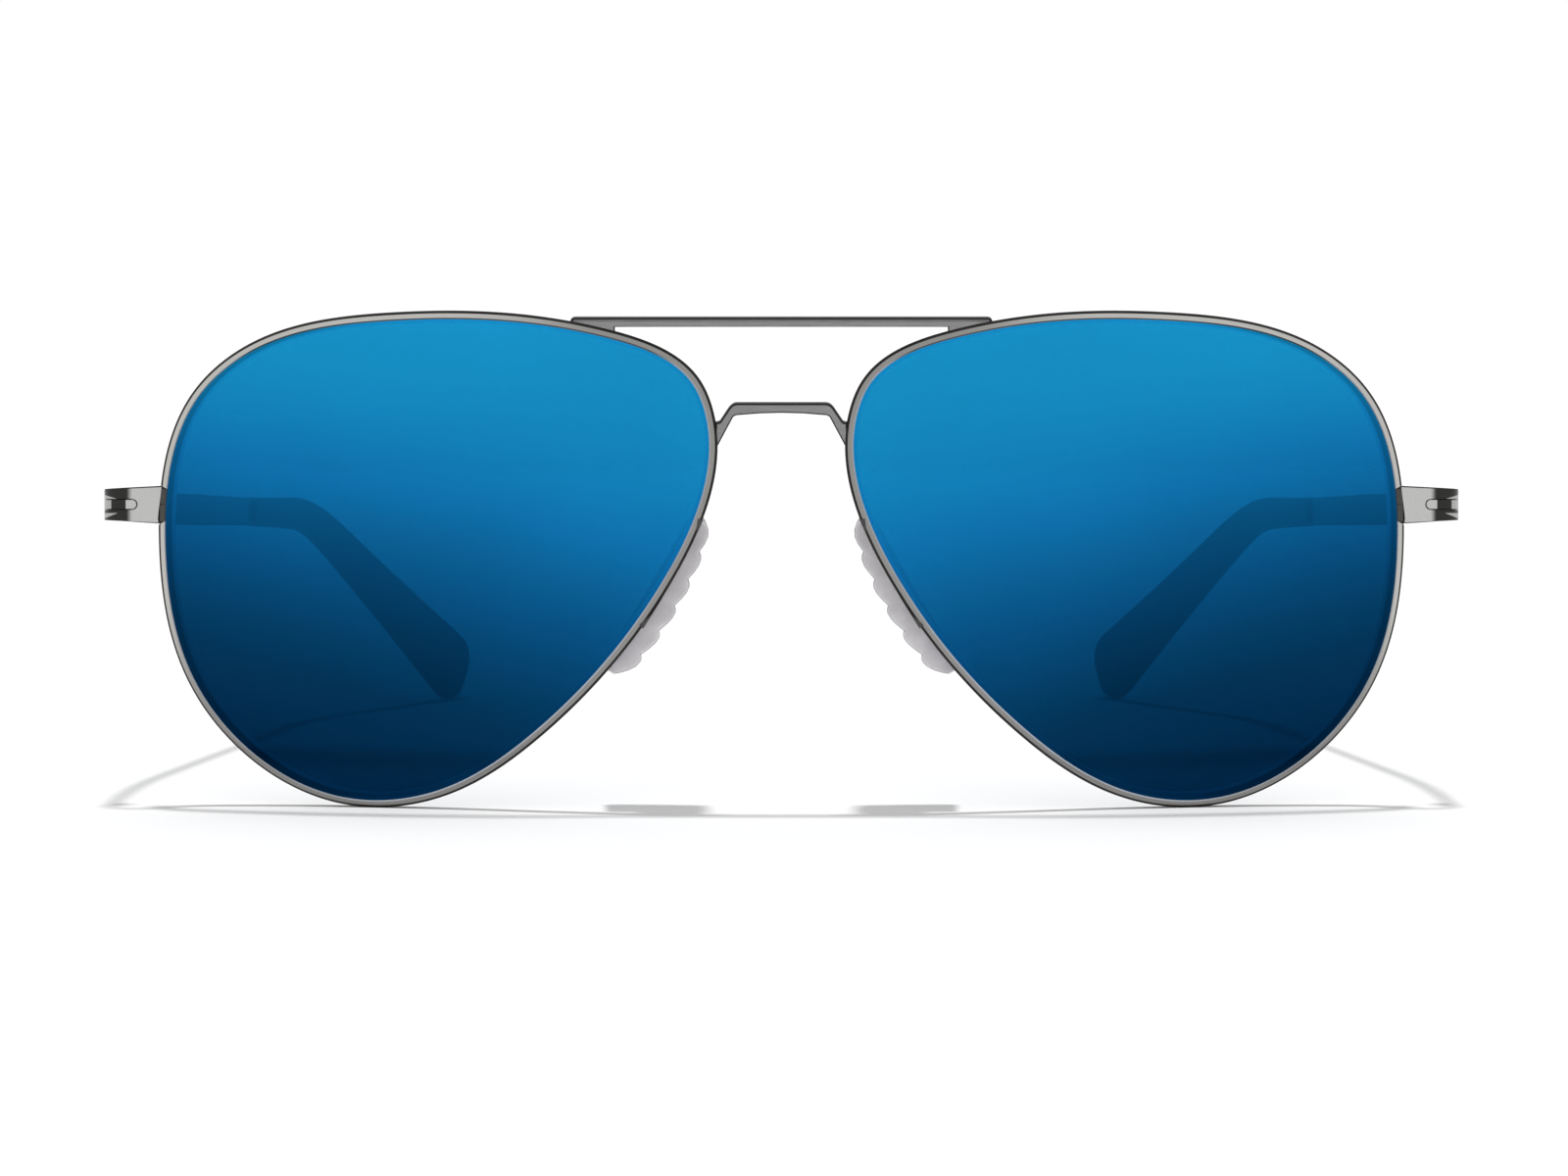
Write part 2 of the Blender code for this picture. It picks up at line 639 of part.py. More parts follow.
def pad_ring(shrink, depth):
    """The pad's outline at a depth, drawn in by shrink: six lobes towards the nose, plain behind."""
    def bend(height):
        return (height - PAD_CREST_HEIGHT) ** 2 / (2 * PAD_BEND_RADIUS) - PAD_CREST

    top = PAD_TOP - shrink
    bottom = PAD_BOTTOM + shrink
    pitch = (top - bottom) / PAD_LOBES
    lobed = []
    for lobe in range(PAD_LOBES):
        for phase in LOBE_PHASES:
            height = top - (lobe + phase) * pitch
            rise = PAD_LOBE_RISE * (sin(pi * phase ** 0.6) - 1)
            fall = 0.0
            if lobe == 0:
                fall = PAD_TOP_FALL * (1 - phase) ** 3
            elif lobe == PAD_LOBES - 1:
                fall = PAD_BOTTOM_FALL * phase ** 3
            lobed.append((bend(height) - rise + fall + shrink, height))
    plain = [(bend(bottom) + PAD_LOBE_RISE + PAD_BOTTOM_FALL + shrink, bottom)]
    for share in (0.0, 0.08, 0.25, 0.5, 0.75, 0.92, 1.0):
        height = bottom + (top - bottom) * share
        side = PAD_SIDE + height ** 2 / (2 * PAD_SIDE_RADIUS)
        inset = PAD_SIDE_FALL * (2 * share - 1) ** 6
        plain.append((side - inset - shrink, height))
    return [(x, depth, z) for x, z in lobed + plain]


def nose_pad():
    """A soft ribbed pad with a slot in its front that the plate fills."""
    front = RIM_DEPTH / 2 + PAD_BEHIND_RIM
    back = front + PAD_DEPTH
    soft = PAD_ROUNDING * (1 - sqrt(0.5))
    rings = [
        pad_ring(PAD_ROUNDING, front),
        pad_ring(soft, front + soft),
        pad_ring(0.0, front + PAD_ROUNDING),
        pad_ring(0.0, back - PAD_ROUNDING),
        pad_ring(soft, back - soft),
        pad_ring(PAD_ROUNDING, back),
    ]
    slot = prism(plate_outline(SEAT_GAP), -PAD_PLATE_FRONT, PAD_PLATE_BACK + SEAT_GAP, "Y", "slot")
    return carve(loft(rings, "nose_pad"), [slot])


# ---------------------------------------------------------------- temples


def ease(share):
    share = min(max(share, 0.0), 1.0)
    return share * share * (3 - 2 * share)


def temple_path():
    """Places and headings along the temple's middle line, in the hinge frame."""
    step = TEMPLE_LENGTH / PATH_STEPS
    place = Vector((KNUCKLE_RADIUS - ARM_THICKNESS / 2, 0, -ARM_DROP))
    path = []
    for i in range(PATH_STEPS + 1):
        travelled = i * step
        bent = ease((travelled - BEND_START) / BEND_LENGTH)
        inwards = TOE_IN * ease(travelled / TIP_START * 2) + (TIP_TOE_IN - TOE_IN) * bent
        down = TIP_DROP * bent
        heading = Vector((-sin(inwards) * cos(down), cos(inwards) * cos(down), -sin(down)))
        path.append((travelled, place.copy(), heading))
        place += heading * step
    return path


TEMPLE_PATH = temple_path()


def section_at(travelled, thickness, height, rounding):
    """A rounded box section of the temple: thickness across it, height up it."""
    index = travelled / TEMPLE_LENGTH * PATH_STEPS
    low = min(int(index), PATH_STEPS - 1)
    share = index - low
    place = TEMPLE_PATH[low][1].lerp(TEMPLE_PATH[low + 1][1], share)
    heading = TEMPLE_PATH[low][2].lerp(TEMPLE_PATH[low + 1][2], share).normalized()
    across = heading.cross(Vector((0, 0, 1))).normalized()
    up = across.cross(heading)
    soft = rounding * (1 - sqrt(0.5))
    half = (thickness / 2, height / 2)
    corner = ((0, rounding), (soft, soft), (rounding, 0))
    points = []
    for side, top, order in ((1, 1, corner), (-1, 1, corner[::-1]), (-1, -1, corner), (1, -1, corner[::-1])):
        for trim_across, trim_up in order:
            reach = (side * (half[0] - trim_across), top * (half[1] - trim_up))
            points.append(place + across * reach[0] + up * reach[1])
    return points


def stations(start, end, count):
    return [start + (end - start) * i / (count - 1) for i in range(count)]


def core_section(travelled, gap):
    return section_at(travelled, CORE_THICKNESS + 2 * gap, CORE_HEIGHT + 2 * gap, CORE_ROUNDING + gap)


def arm_height(travelled):
    places = (ARM_START, ARM_SWELL, TIP_START)
    return np.interp(travelled, places, (ARM_HEIGHT_AT_HINGE, ARM_HEIGHT, ARM_HEIGHT_AT_TIP))


def temple():
    """The metal arm: a tongue and knuckle at the hinge, a flat strip, and a core inside the tip."""
    rings = [
        section_at(place, ARM_THICKNESS, arm_height(place), ARM_ROUNDING)
        for place in stations(ARM_START, TIP_START, ARM_STATIONS)
    ]
    rings += [core_section(place, 0.0) for place in stations(TIP_START, CORE_END, CORE_STATIONS)]
    arm = loft(rings, "temple")

    half = TONGUE_HEIGHT / 2
    neck_outer = END_REACH - ARM_ROUNDING
    neck_inner = END_REACH - ARM_THICKNESS + ARM_ROUNDING
    neck_end = HINGE_DEPTH + ARM_START + ARM_THICKNESS
    radius = KNUCKLE_RADIUS - TURN_GAP
    inner_face = END_REACH - END_WALL - PIN.x
    meet = 360 - np.degrees(np.arccos(inner_face / radius))
    tail = [(neck_outer + ARM_ROUNDING, HINGE_DEPTH + radius), (neck_outer, neck_end), (neck_inner, neck_end)]
    tail += arc(PIN, radius, 90, meet, 12)
    hook = prism(end_contour(tail), -half, half, "Z", "hook")
    hook = carve(hook, [tongue_window(TONGUE_HEIGHT)], "INTERSECT")
    hook = moved(hook, Matrix.Translation(-PIN))
    hole = cylinder((0, 0), SCREW_RADIUS + TURN_GAP, -TONGUE_HEIGHT, TONGUE_HEIGHT, "screw_hole")
    return carve(carve(arm, [hook], "UNION"), [hole])


def tip_size(travelled):
    """Thickness, height and corner rounding of the tip, which widens to a round paddle."""
    share = (travelled - TIP_START) / (TEMPLE_LENGTH - TIP_END_LENGTH - TIP_START)
    height = TIP_HEIGHT_AT_START + (TIP_HEIGHT_AT_END - TIP_HEIGHT_AT_START) * share ** TIP_FLARE
    past = max(0.0, travelled - (TEMPLE_LENGTH - TIP_END_LENGTH)) / TIP_END_LENGTH
    end = sqrt(max(0.0, 1 - past ** 2))
    return TIP_THICKNESS * end ** 0.6, height * end, TIP_ROUNDING * end


def temple_tip():
    """A soft sleeve over the arm's core."""
    start = TIP_START + SEAT_GAP
    thickness, height, rounding = tip_size(start)
    inner = [core_section(place, SEAT_GAP) for place in stations(TIP_START, CORE_END, CORE_STATIONS)]
    inner[0] = core_section(start, SEAT_GAP)
    rings = [core_section(CORE_END + SEAT_GAP, SEAT_GAP)] + inner[::-1]
    rings.append(section_at(start, thickness - TIP_LIP, height - TIP_LIP, rounding - TIP_LIP / 2))
    body_end = TEMPLE_LENGTH - TIP_END_LENGTH
    places = stations(start + TIP_LIP, body_end, TIP_STATIONS)
    turns = [pi / 2 * (i + 1) / (TIP_END_STATIONS + 0.5) for i in range(TIP_END_STATIONS)]
    places += [body_end + TIP_END_LENGTH * sin(turn) for turn in turns]
    rings += [section_at(place, *tip_size(place)) for place in places]
    return loft(rings, "temple_tip")


# ---------------------------------------------------------------- assembly


def make_material(name, colour, metallic, roughness):
    material = bpy.data.materials.new(name)
    material.use_nodes = True
    shader = material.node_tree.nodes["Principled BSDF"]
    shader.inputs["Base Color"].default_value = colour
    shader.inputs["Metallic"].default_value = metallic
    shader.inputs["Roughness"].default_value = roughness
    material.diffuse_color = colour
    return material


def empty(name, parent, matrix):
    thing = bpy.data.objects.new(name, None)
    thing.parent = parent
    thing.matrix_local = matrix
    thing.empty_display_size = KNUCKLE_RADIUS
    bpy.context.scene.collection.objects.link(thing)
    return thing


def place(name, mesh, parent, material):
    piece = bpy.data.objects.new(name, mesh)
    piece.parent = parent
    if not mesh.materials:
        mesh.materials.append(material)
        mesh.shade_smooth()
        mesh.set_sharp_from_angle(angle=radians(32))
    bpy.context.scene.collection.objects.link(piece)
    return piece


def lowest(pieces, lean):
    """The lowest corner of some pieces once the glasses lean, as (back, height)."""
    turn = Matrix.Rotation(lean, 4, "X")
    corners = [turn @ piece.matrix_world @ v.co for piece in pieces for v in piece.data.vertices]
    low = min(corners, key=lambda corner: corner.z)
    return low.y, low.z


def stand(root, rims, tips, pieces):
    """Lean the glasses until rims and tips touch the table, and centre them over the origin."""
    bpy.context.view_layer.update()
    lean = 0.0
    for _ in range(8):
        front, back = lowest(rims, lean), lowest(tips, lean)
        lean += (front[1] - back[1]) / (back[0] - front[0])
    root.matrix_local = Matrix.Rotation(lean, 4, "X")
    bpy.context.view_layer.update()
    corners = np.array([piece.matrix_world @ v.co for piece in pieces for v in piece.data.vertices])
    low, high = corners.min(axis=0), corners.max(axis=0)
    root.location = (-(low[0] + high[0]) / 2, -(low[1] + high[1]) / 2, -low[2])


def build():
    for thing in list(bpy.data.objects):
        bpy.data.objects.remove(thing)

    metal, dark_metal, mirror, pad_rubber, tip_rubber = (
        make_material(*look) for look in (METAL, DARK_METAL, MIRROR, PAD_RUBBER, TIP_RUBBER)
    )
    root = empty("glasses", None, Matrix())
    pieces = [place("bridge", bridge(), root, metal), place("top_bar", top_bar(), root, metal)]

    shapes = {
        "rim": (rim(), "lens", metal),
        "lens": (lens(), "lens", mirror),
        "end_piece": (end_piece(), "end", metal),
        "closing_block_upper": (closing_block(True), "end", dark_metal),
        "closing_block_lower": (closing_block(False), "end", dark_metal),
        "closing_screw": (closing_screw(), "closing_screw", dark_metal),
        "nose_pad_plate": (pad_plate(), "pad", dark_metal),
        "nose_pad": (nose_pad(), "pad", pad_rubber),
        "hinge_screw": (hinge_screw(), "hinge", dark_metal),
        "temple": (temple(), "hinge", metal),
        "temple_tip": (temple_tip(), "hinge", tip_rubber),
    }
    for side, facing in (("left", 1), ("right", -1)):
        half = empty(f"side_{side}", root, Matrix.Scale(facing, 4, (1, 0, 0)))
        end = empty(f"end_{side}", half, END_FRAME)
        frames = {
            "lens": empty(f"lens_frame_{side}", half, LENS_FRAME),
            "pad": empty(f"pad_frame_{side}", half, PAD_FRAME),
            "end": end,
            "hinge": empty(f"hinge_{side}", end, Matrix.Translation(PIN)),
            "closing_screw": empty(f"closing_{side}", end, Matrix.Translation(block_screw_place())),
        }
        for name, (mesh, frame, material) in shapes.items():
            pieces.append(place(f"{name}_{side}", mesh, frames[frame], material))

    rims = [piece for piece in pieces if piece.name.startswith("rim_")]
    tips = [piece for piece in pieces if piece.name.startswith("temple_tip_")]
    stand(root, rims, tips, pieces)


build()
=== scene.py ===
"""Looks for the aviator sunglasses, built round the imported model.

Lengths are in metres, in the model's own frame: +X is the wearer's left, +Y runs back
towards the ears and +Z is up. Each half is drawn for the wearer's left and mirrored.
"""

import json
from math import atan2, cos, pi, radians, sin, sqrt, tan

import bmesh
import bpy
import numpy as np
from mathutils import Matrix, Vector


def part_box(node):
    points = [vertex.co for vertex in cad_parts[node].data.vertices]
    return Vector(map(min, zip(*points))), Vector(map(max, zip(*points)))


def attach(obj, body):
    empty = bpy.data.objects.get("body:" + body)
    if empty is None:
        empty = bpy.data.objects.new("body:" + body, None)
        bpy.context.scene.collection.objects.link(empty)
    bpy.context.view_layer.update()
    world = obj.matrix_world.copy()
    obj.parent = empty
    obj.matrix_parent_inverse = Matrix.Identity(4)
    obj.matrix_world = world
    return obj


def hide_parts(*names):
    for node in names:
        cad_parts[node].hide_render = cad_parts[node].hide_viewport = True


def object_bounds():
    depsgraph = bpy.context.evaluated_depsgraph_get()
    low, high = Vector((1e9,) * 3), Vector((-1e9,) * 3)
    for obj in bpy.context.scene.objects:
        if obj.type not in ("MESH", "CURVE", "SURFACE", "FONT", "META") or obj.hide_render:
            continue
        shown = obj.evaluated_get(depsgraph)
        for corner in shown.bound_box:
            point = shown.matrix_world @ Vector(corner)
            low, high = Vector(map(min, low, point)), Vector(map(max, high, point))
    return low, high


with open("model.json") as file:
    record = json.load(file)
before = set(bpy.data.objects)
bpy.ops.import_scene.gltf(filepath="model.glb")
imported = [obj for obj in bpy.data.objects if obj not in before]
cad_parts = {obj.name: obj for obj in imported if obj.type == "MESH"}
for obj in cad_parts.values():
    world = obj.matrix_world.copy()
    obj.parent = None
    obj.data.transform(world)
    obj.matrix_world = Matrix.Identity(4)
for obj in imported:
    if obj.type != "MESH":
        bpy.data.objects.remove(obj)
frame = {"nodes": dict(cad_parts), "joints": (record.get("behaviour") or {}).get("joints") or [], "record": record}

CAD_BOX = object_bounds()

# Camera
CAMERA_BACK = 0.59635  # from the front of the glasses
CAMERA_SIDE = 0.00027
CAMERA_HEIGHT = 0.06379
CAMERA_PITCH = radians(3.870)
CAMERA_LENS = 133.4  # millimetres, on a sensor 36 mm wide
CAMERA_SENSOR = 36.0
CAMERA_NEAREST = 0.01

# The lens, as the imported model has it
LENS_WIDTH = 0.058
LENS_HEIGHT = 0.0515
LENS_THICKNESS = 0.002
LENS_DISTANCE = 0.0146  # between the two lenses
LENS_WRAP = radians(6.0)
BASE_RADIUS = 0.0883
BEVEL_REACH = 0.0004
BEVEL_HALF = 0.0005
LENS_OUTLINE = (  # round the bevel's tip, in half widths and half heights
    (0.145, 0.990), (0.683, 0.839), (0.862, 0.664), (0.993, 0.027),
    (0.879, -0.548), (0.379, -0.983), (-0.031, -0.940), (-0.383, -0.680),
    (-0.824, -0.093), (-0.983, 0.606), (-0.938, 0.726), (-0.617, 0.928),
)

# The rim and what meets it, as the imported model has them
RIM_WALL = 0.00043
RIM_DEPTH = 0.002
RIM_OUTLINE = 0.0001  # added outside the wall, all of it in the dark rounding
RIM_ROUNDING = 0.00025 + RIM_OUTLINE
RIM_CHAMFER = 0.0001
RIM_CROWN = 0.00002
SEAT_GAP = 0.00005
HINGE_HEIGHT = 0.0054  # over the lens's centre
PANTOSCOPIC_TILT = radians(9.0)
BLOCK_HEIGHT = 0.0042
BLOCK_SLANT = radians(28.8)
BLOCK_GAP = 0.00001  # between the closing blocks and the rim's ends
BLOCK_CAP = 0.0003  # the black end of each closing block
SLOT_RADIUS = 0.000525  # of the end piece's slot, at the middle of its gap
SLOT_REACH = 0.003725  # from the outer face to its round end
HOOK_REACH = 0.0012  # of the temple's hook, behind the hinge's axis

# Fineness of the new meshes
OUTLINE_STEPS = 400
SPAN_STEPS = 60
LENS_RINGS = 14
CROWN_STEPS = 4
FRONT_ROUNDING_STEPS = 6
BACK_ROUNDING_STEPS = 5
TIP_LEVELS = 2
WIRE_MAP = "wire"

# Edges: the small bevel that breaks them, and the angles from which they stay sharp
PLATE_EASE = 0.00005
BLOCK_EASE = 0.00004
SCREW_EASE = 0.00003
PAD_EASE = 0.00006
EASE_SEGMENTS = 2
DRAWN_SHARP = radians(34)
MACHINED_SHARP = radians(40)
MOULDED_SHARP = radians(50)
MOULDED_CREASE = radians(60)
FACETS_FLAT = radians(0.5)
QUAD_BEND = radians(40)  # the most between two triangles that become one face
QUAD_SHAPE = radians(60)
SEAM = 1e-6  # the most that the corners of neighbouring facets lie apart

# Painted shade: dark strips along the upper edges of the bars, and a painted shadow round the slot
BAR_STRIP = 0.0001
BRIDGE_STRIP = 0.00006
# A painted shadow: the dark line in the gap round the end piece's slot.
SLOT_PAINTED_SHADOW = (0.00005, 0.00008)  # to where it is black, and to where it has faded

# How far a face's normal points some way before the face counts as facing it
FACES_STRAIGHT_AHEAD = 0.999
FACES_AHEAD = 0.3
FACES_DOWN = 0.1
END_FACES_UP = 0.35
ARM_FACES_UP = 0.6

# The materials of a drawn piece, by number
FACE, LIP, SIDE = 0, 1, 2
COAT, EDGE, BACK = 0, 1, 2
BRIGHT, DARK, HOOK = 0, 1, 2

# Light: the world lights the glasses evenly, and the lamp overhead grounds them
WORLD_FILL = 0.74
OVERHEAD = 2.10
OVERHEAD_SPREAD = radians(4.5)
OVERHEAD_LEAN = radians(4)
FLOOR_COLOUR = 0.77
FLOOR_VARIES = 0.005
FLOOR_HALF = 4.0

# Materials
WHITE = (1.0, 1.0, 1.0, 1.0)
NOISE = (0.3, 0.7)  # the range that most of a noise lies in
RELIEF = 0.00002


# ---------------------------------------------------------------- colours and nodes


def srgb(red, green, blue):
    """A colour as it is seen, from 0 to 255, as the linear colour that shaders take."""
    def linear(value):
        value /= 255
        return value / 12.92 if value <= 0.04045 else ((value + 0.055) / 1.055) ** 2.4

    return (linear(red), linear(green), linear(blue), 1.0)


def steel(level):
    """A grey as it is seen, from 0 to 255, with a trace of warmth."""
    return srgb(level, level, level - 1)


def grey(level):
    """A grey as shaders take it, where 1 is white."""
    return (level, level, level, 1.0)


def node(tree, kind, inputs=None, **settings):
    """A new shader node. The inputs, by name or number, are values or the sockets to link."""
    made = tree.nodes.new("ShaderNode" + kind)
    for name, value in settings.items():
        setattr(made, name, value)
    for name, value in (inputs or {}).items():
        if isinstance(value, bpy.types.NodeSocket):
            tree.links.new(value, made.inputs[name])
        else:
            made.inputs[name].default_value = value
    return made


def calc(tree, operation, *values):
    return node(tree, "Math", dict(enumerate(values)), operation=operation).outputs[0]


def vector_calc(tree, operation, first, second, result="Vector"):
    return node(tree, "VectorMath", {0: first, 1: second}, operation=operation).outputs[result]


def product(tree, first, second):
    return calc(tree, "MULTIPLY", first, second)


def difference(tree, first, second):
    return calc(tree, "SUBTRACT", first, second)


def new_material(name):
    """A material with a Principled shader: the material, its tree and the shader."""
    material = bpy.data.materials.new(name)
    material.use_nodes = True
    tree = material.node_tree
    return material, tree, tree.nodes["Principled BSDF"]


def ramp(tree, factor, stops):
    """Colours along a factor from 0 to 1; the stops are (place, colour)."""
    made = node(tree, "ValToRGB", {"Fac": factor})
    elements = made.color_ramp.elements
    while len(elements) < len(stops):
        elements.new(1.0)
    for element, (place, colour) in zip(elements, stops):
        element.position = place
        element.color = colour
    return made.outputs["Color"]


def span(tree, value, low, high, start=0.0, end=1.0, smooth=False):
    """A value from low to high turned into start to end, and held outside them."""
    inputs = {"Value": value, "From Min": low, "From Max": high, "To Min": start, "To Max": end}
    curve = "SMOOTHSTEP" if smooth else "LINEAR"
    return node(tree, "MapRange", inputs, interpolation_type=curve).outputs["Result"]


def mixed(tree, factor, first, second, blend="MIX"):
    """Two colours mixed. The node's colour sockets share their names, so they go by number."""
    made = node(tree, "Mix", {0: factor}, data_type="RGBA", blend_type=blend)
    for socket, value in ((made.inputs[6], first), (made.inputs[7], second)):
        if isinstance(value, bpy.types.NodeSocket):
            tree.links.new(value, socket)
        else:
            socket.default_value = value
    return made.outputs[2]


def object_place(tree):
    return node(tree, "TexCoord").outputs["Object"]


def parts_of(tree, vector):
    return node(tree, "SeparateXYZ", {"Vector": vector}).outputs


def across_and_up(tree, outboard, up, origin_height=0.0):
    """Distance from the middle times outboard, plus height times up, in the glasses' own frame."""
    parts = parts_of(tree, object_place(tree))
    sideways = product(tree, calc(tree, "ABSOLUTE", parts["X"]), outboard)
    height = difference(tree, parts["Z"], origin_height)
    return calc(tree, "MULTIPLY_ADD", height, up, sideways)


def folded_place(tree):
    """The place on the glasses, with the right half folded over on the left."""
    parts = parts_of(tree, object_place(tree))
    outwards = calc(tree, "ABSOLUTE", parts["X"])
    return node(tree, "CombineXYZ", {"X": outwards, "Y": parts["Y"], "Z": parts["Z"]}).outputs[0]


def noise(tree, place, scale, detail=2.0, roughness=0.5):
    inputs = {"Vector": place, "Scale": scale, "Detail": detail, "Roughness": roughness}
    return node(tree, "TexNoise", inputs).outputs["Fac"]


def wandering(tree, factor, first, second):
    """A colour that wanders between two with a noise."""
    return ramp(tree, factor, tuple(zip(NOISE, (first, second))))


def brightened(tree, colour, factor, low, high):
    """A colour times a level that wanders from low to high with a noise."""
    level = span(tree, factor, *NOISE, low, high)
    levels = node(tree, "CombineColor", {"Red": level, "Green": level, "Blue": level}).outputs["Color"]
    return mixed(tree, 1.0, colour, levels, "MULTIPLY")


def set_colour(tree, shader, colour):
    tree.links.new(colour, shader.inputs["Base Color"])


def set_roughness(tree, shader, factor, low, high):
    tree.links.new(span(tree, factor, *NOISE, low, high), shader.inputs["Roughness"])


def add_relief(tree, shader, height, strength, distance=RELIEF):
    raised = node(tree, "Bump", {"Height": height, "Strength": strength, "Distance": distance})
    tree.links.new(raised.outputs["Normal"], shader.inputs["Normal"])


def make_clear(tree, shader, tint, share):
    """Lays a share of the shader over clear plastic with a tint."""
    clear = node(tree, "BsdfTransparent", {"Color": tint}).outputs["BSDF"]
    both = node(tree, "MixShader", {0: share, 1: clear, 2: shader.outputs["BSDF"]})
    tree.links.new(both.outputs["Shader"], tree.nodes["Material Output"].inputs["Surface"])


# ---------------------------------------------------------------- the glasses' own frames


def closed_curve(knots, count):
    """Points at even steps along the smooth closed cubic curve through the knots."""
    knots = np.array(knots)
    size = len(knots)
    spans = np.linalg.norm(np.roll(knots, -1, axis=0) - knots, axis=1)
    system = np.zeros((size, size))
    target = np.zeros((size, 2))
    for i in range(size):
        after = (i + 1) % size
        system[i, i - 1] += spans[i - 1]
        system[i, i] += 2 * (spans[i - 1] + spans[i])
        system[i, after] += spans[i]
        target[i] = 6 * (knots[after] - knots[i]) / spans[i] - 6 * (knots[i] - knots[i - 1]) / spans[i - 1]
    bend = np.linalg.solve(system, target)
    dense = []
    for i in range(size):
        after = (i + 1) % size
        for share in np.arange(SPAN_STEPS) / SPAN_STEPS:
            rest = 1 - share
            straight = rest * knots[i] + share * knots[after]
            curve = (rest ** 3 - rest) * bend[i] + (share ** 3 - share) * bend[after]
            dense.append(straight + curve * spans[i] ** 2 / 6)
    dense.append(dense[0])
    dense = np.array(dense)
    travelled = np.concatenate(([0], np.cumsum(np.linalg.norm(np.diff(dense, axis=0), axis=1))))
    steps = np.arange(count) * travelled[-1] / count
    return np.stack([np.interp(steps, travelled, dense[:, axis]) for axis in (0, 1)], axis=1)


LENS_EDGE = closed_curve(np.array(LENS_OUTLINE) * np.array((LENS_WIDTH / 2, LENS_HEIGHT / 2)), OUTLINE_STEPS)


def lens_edge(offset):
    """The lens outline at the bevel's tip, moved outwards by offset."""
    along = np.roll(LENS_EDGE, -1, axis=0) - np.roll(LENS_EDGE, 1, axis=0)
    along /= np.linalg.norm(along, axis=1)[:, None]
    outwards = np.stack([-along[:, 1], along[:, 0]], axis=1)
    return LENS_EDGE + offset * outwards


def on_sphere(across, up, depth):
    """A lens-frame point at a depth behind the lens's front surface."""
    forwards = -sqrt(BASE_RADIUS ** 2 - across ** 2 - up ** 2)
    normal = Vector((across, forwards, up)) / BASE_RADIUS
    return Vector((0, BASE_RADIUS, 0)) + normal * (BASE_RADIUS - depth)


def lens_frame():
    nasal = Matrix.Rotation(LENS_WRAP, 4, "Z") @ on_sphere(-LENS_WIDTH / 2, 0, LENS_THICKNESS / 2)
    return Matrix.Translation((LENS_DISTANCE / 2 - nasal.x, 0, 0)) @ Matrix.Rotation(LENS_WRAP, 4, "Z")


LENS_FRAME = lens_frame()


def end_frame():
    """The frame of the end piece, whose origin is on the rim's outer side at the hinge's height."""
    edge = lens_edge(RIM_WALL)
    outer = edge[np.argmin(np.abs(edge[:, 1] - HINGE_HEIGHT) - edge[:, 0])]
    corner = LENS_FRAME @ on_sphere(outer[0], HINGE_HEIGHT, (LENS_THICKNESS - RIM_DEPTH) / 2)
    return Matrix.Translation((corner.x, corner.y, HINGE_HEIGHT)) @ Matrix.Rotation(-PANTOSCOPIC_TILT, 4, "X")


# ---------------------------------------------------------------- drawn meshes


def mesh_from(bm, name):
    mesh = bpy.data.meshes.new(name)
    bm.to_mesh(mesh)
    bm.free()
    return mesh


def smooth(mesh, sharp):
    mesh.shade_smooth()
    mesh.set_sharp_from_angle(angle=sharp)
    return mesh


def distances(points):
    """How far along the closed chain of points each one is, with the whole length last."""
    steps = [(points[(i + 1) % len(points)] - point).length for i, point in enumerate(points)]
    return np.concatenate(([0], np.cumsum(steps)))


def loft(rings, strips, name):
    """A ring of rings, joined end to start. strips gives the material of each strip round a ring.

    The wire map runs along the wire in u and round it in v, in metres."""
    bm = bmesh.new()
    wire = bm.loops.layers.uv.new(WIRE_MAP)
    loops = [[bm.verts.new(point) for point in ring] for ring in rings]
    round_it = distances(rings[0])
    along_it = distances([ring[0] for ring in rings])
    for k, first in enumerate(loops):
        second = loops[(k + 1) % len(loops)]
        for i, strip in enumerate(strips):
            after = (i + 1) % len(strips)
            face = bm.faces.new((first[i], first[after], second[after], second[i]))
            face.material_index = strip
            corners = ((k, i), (k, i + 1), (k + 1, i + 1), (k + 1, i))
            for corner, (u, v) in zip(face.loops, corners):
                corner[wire].uv = (along_it[u], round_it[v])
    bmesh.ops.recalc_face_normals(bm, faces=bm.faces)
    return mesh_from(bm, name)


def quarter_turn(steps):
    """The sines and cosines of even steps through a right angle."""
    angles = [step * pi / 2 / steps for step in range(steps + 1)]
    return [(sin(angle), cos(angle)) for angle in angles]


def rim_section():
    """The rim's channel section: distance outside the bevel's tip, depth and the strip's material."""
    middle = LENS_THICKNESS / 2
    front = middle - RIM_DEPTH / 2
    back = middle + RIM_DEPTH / 2
    inner = SEAT_GAP - BEVEL_REACH
    wall = RIM_WALL + RIM_OUTLINE
    face_start = inner + RIM_CHAMFER
    face_end = wall - RIM_ROUNDING
    section = [(inner, front + RIM_CHAMFER, LIP)]
    for step in range(CROWN_STEPS):
        share = step / CROWN_STEPS
        crown = RIM_CROWN * 4 * share * (1 - share)
        section.append((face_start + share * (face_end - face_start), front - crown, FACE))
    for rise, run in quarter_turn(FRONT_ROUNDING_STEPS):
        section.append((wall - RIM_ROUNDING * (1 - rise), front + RIM_ROUNDING * (1 - run), SIDE))
    for rise, run in quarter_turn(BACK_ROUNDING_STEPS):
        section.append((wall - RIM_ROUNDING * (1 - run), back - RIM_ROUNDING * (1 - rise), SIDE))
    section += [
        (inner, back, SIDE),
        (inner, middle + BEVEL_HALF, SIDE),
        (SEAT_GAP, middle, SIDE),
        (inner, middle - BEVEL_HALF, LIP),
    ]
    return section


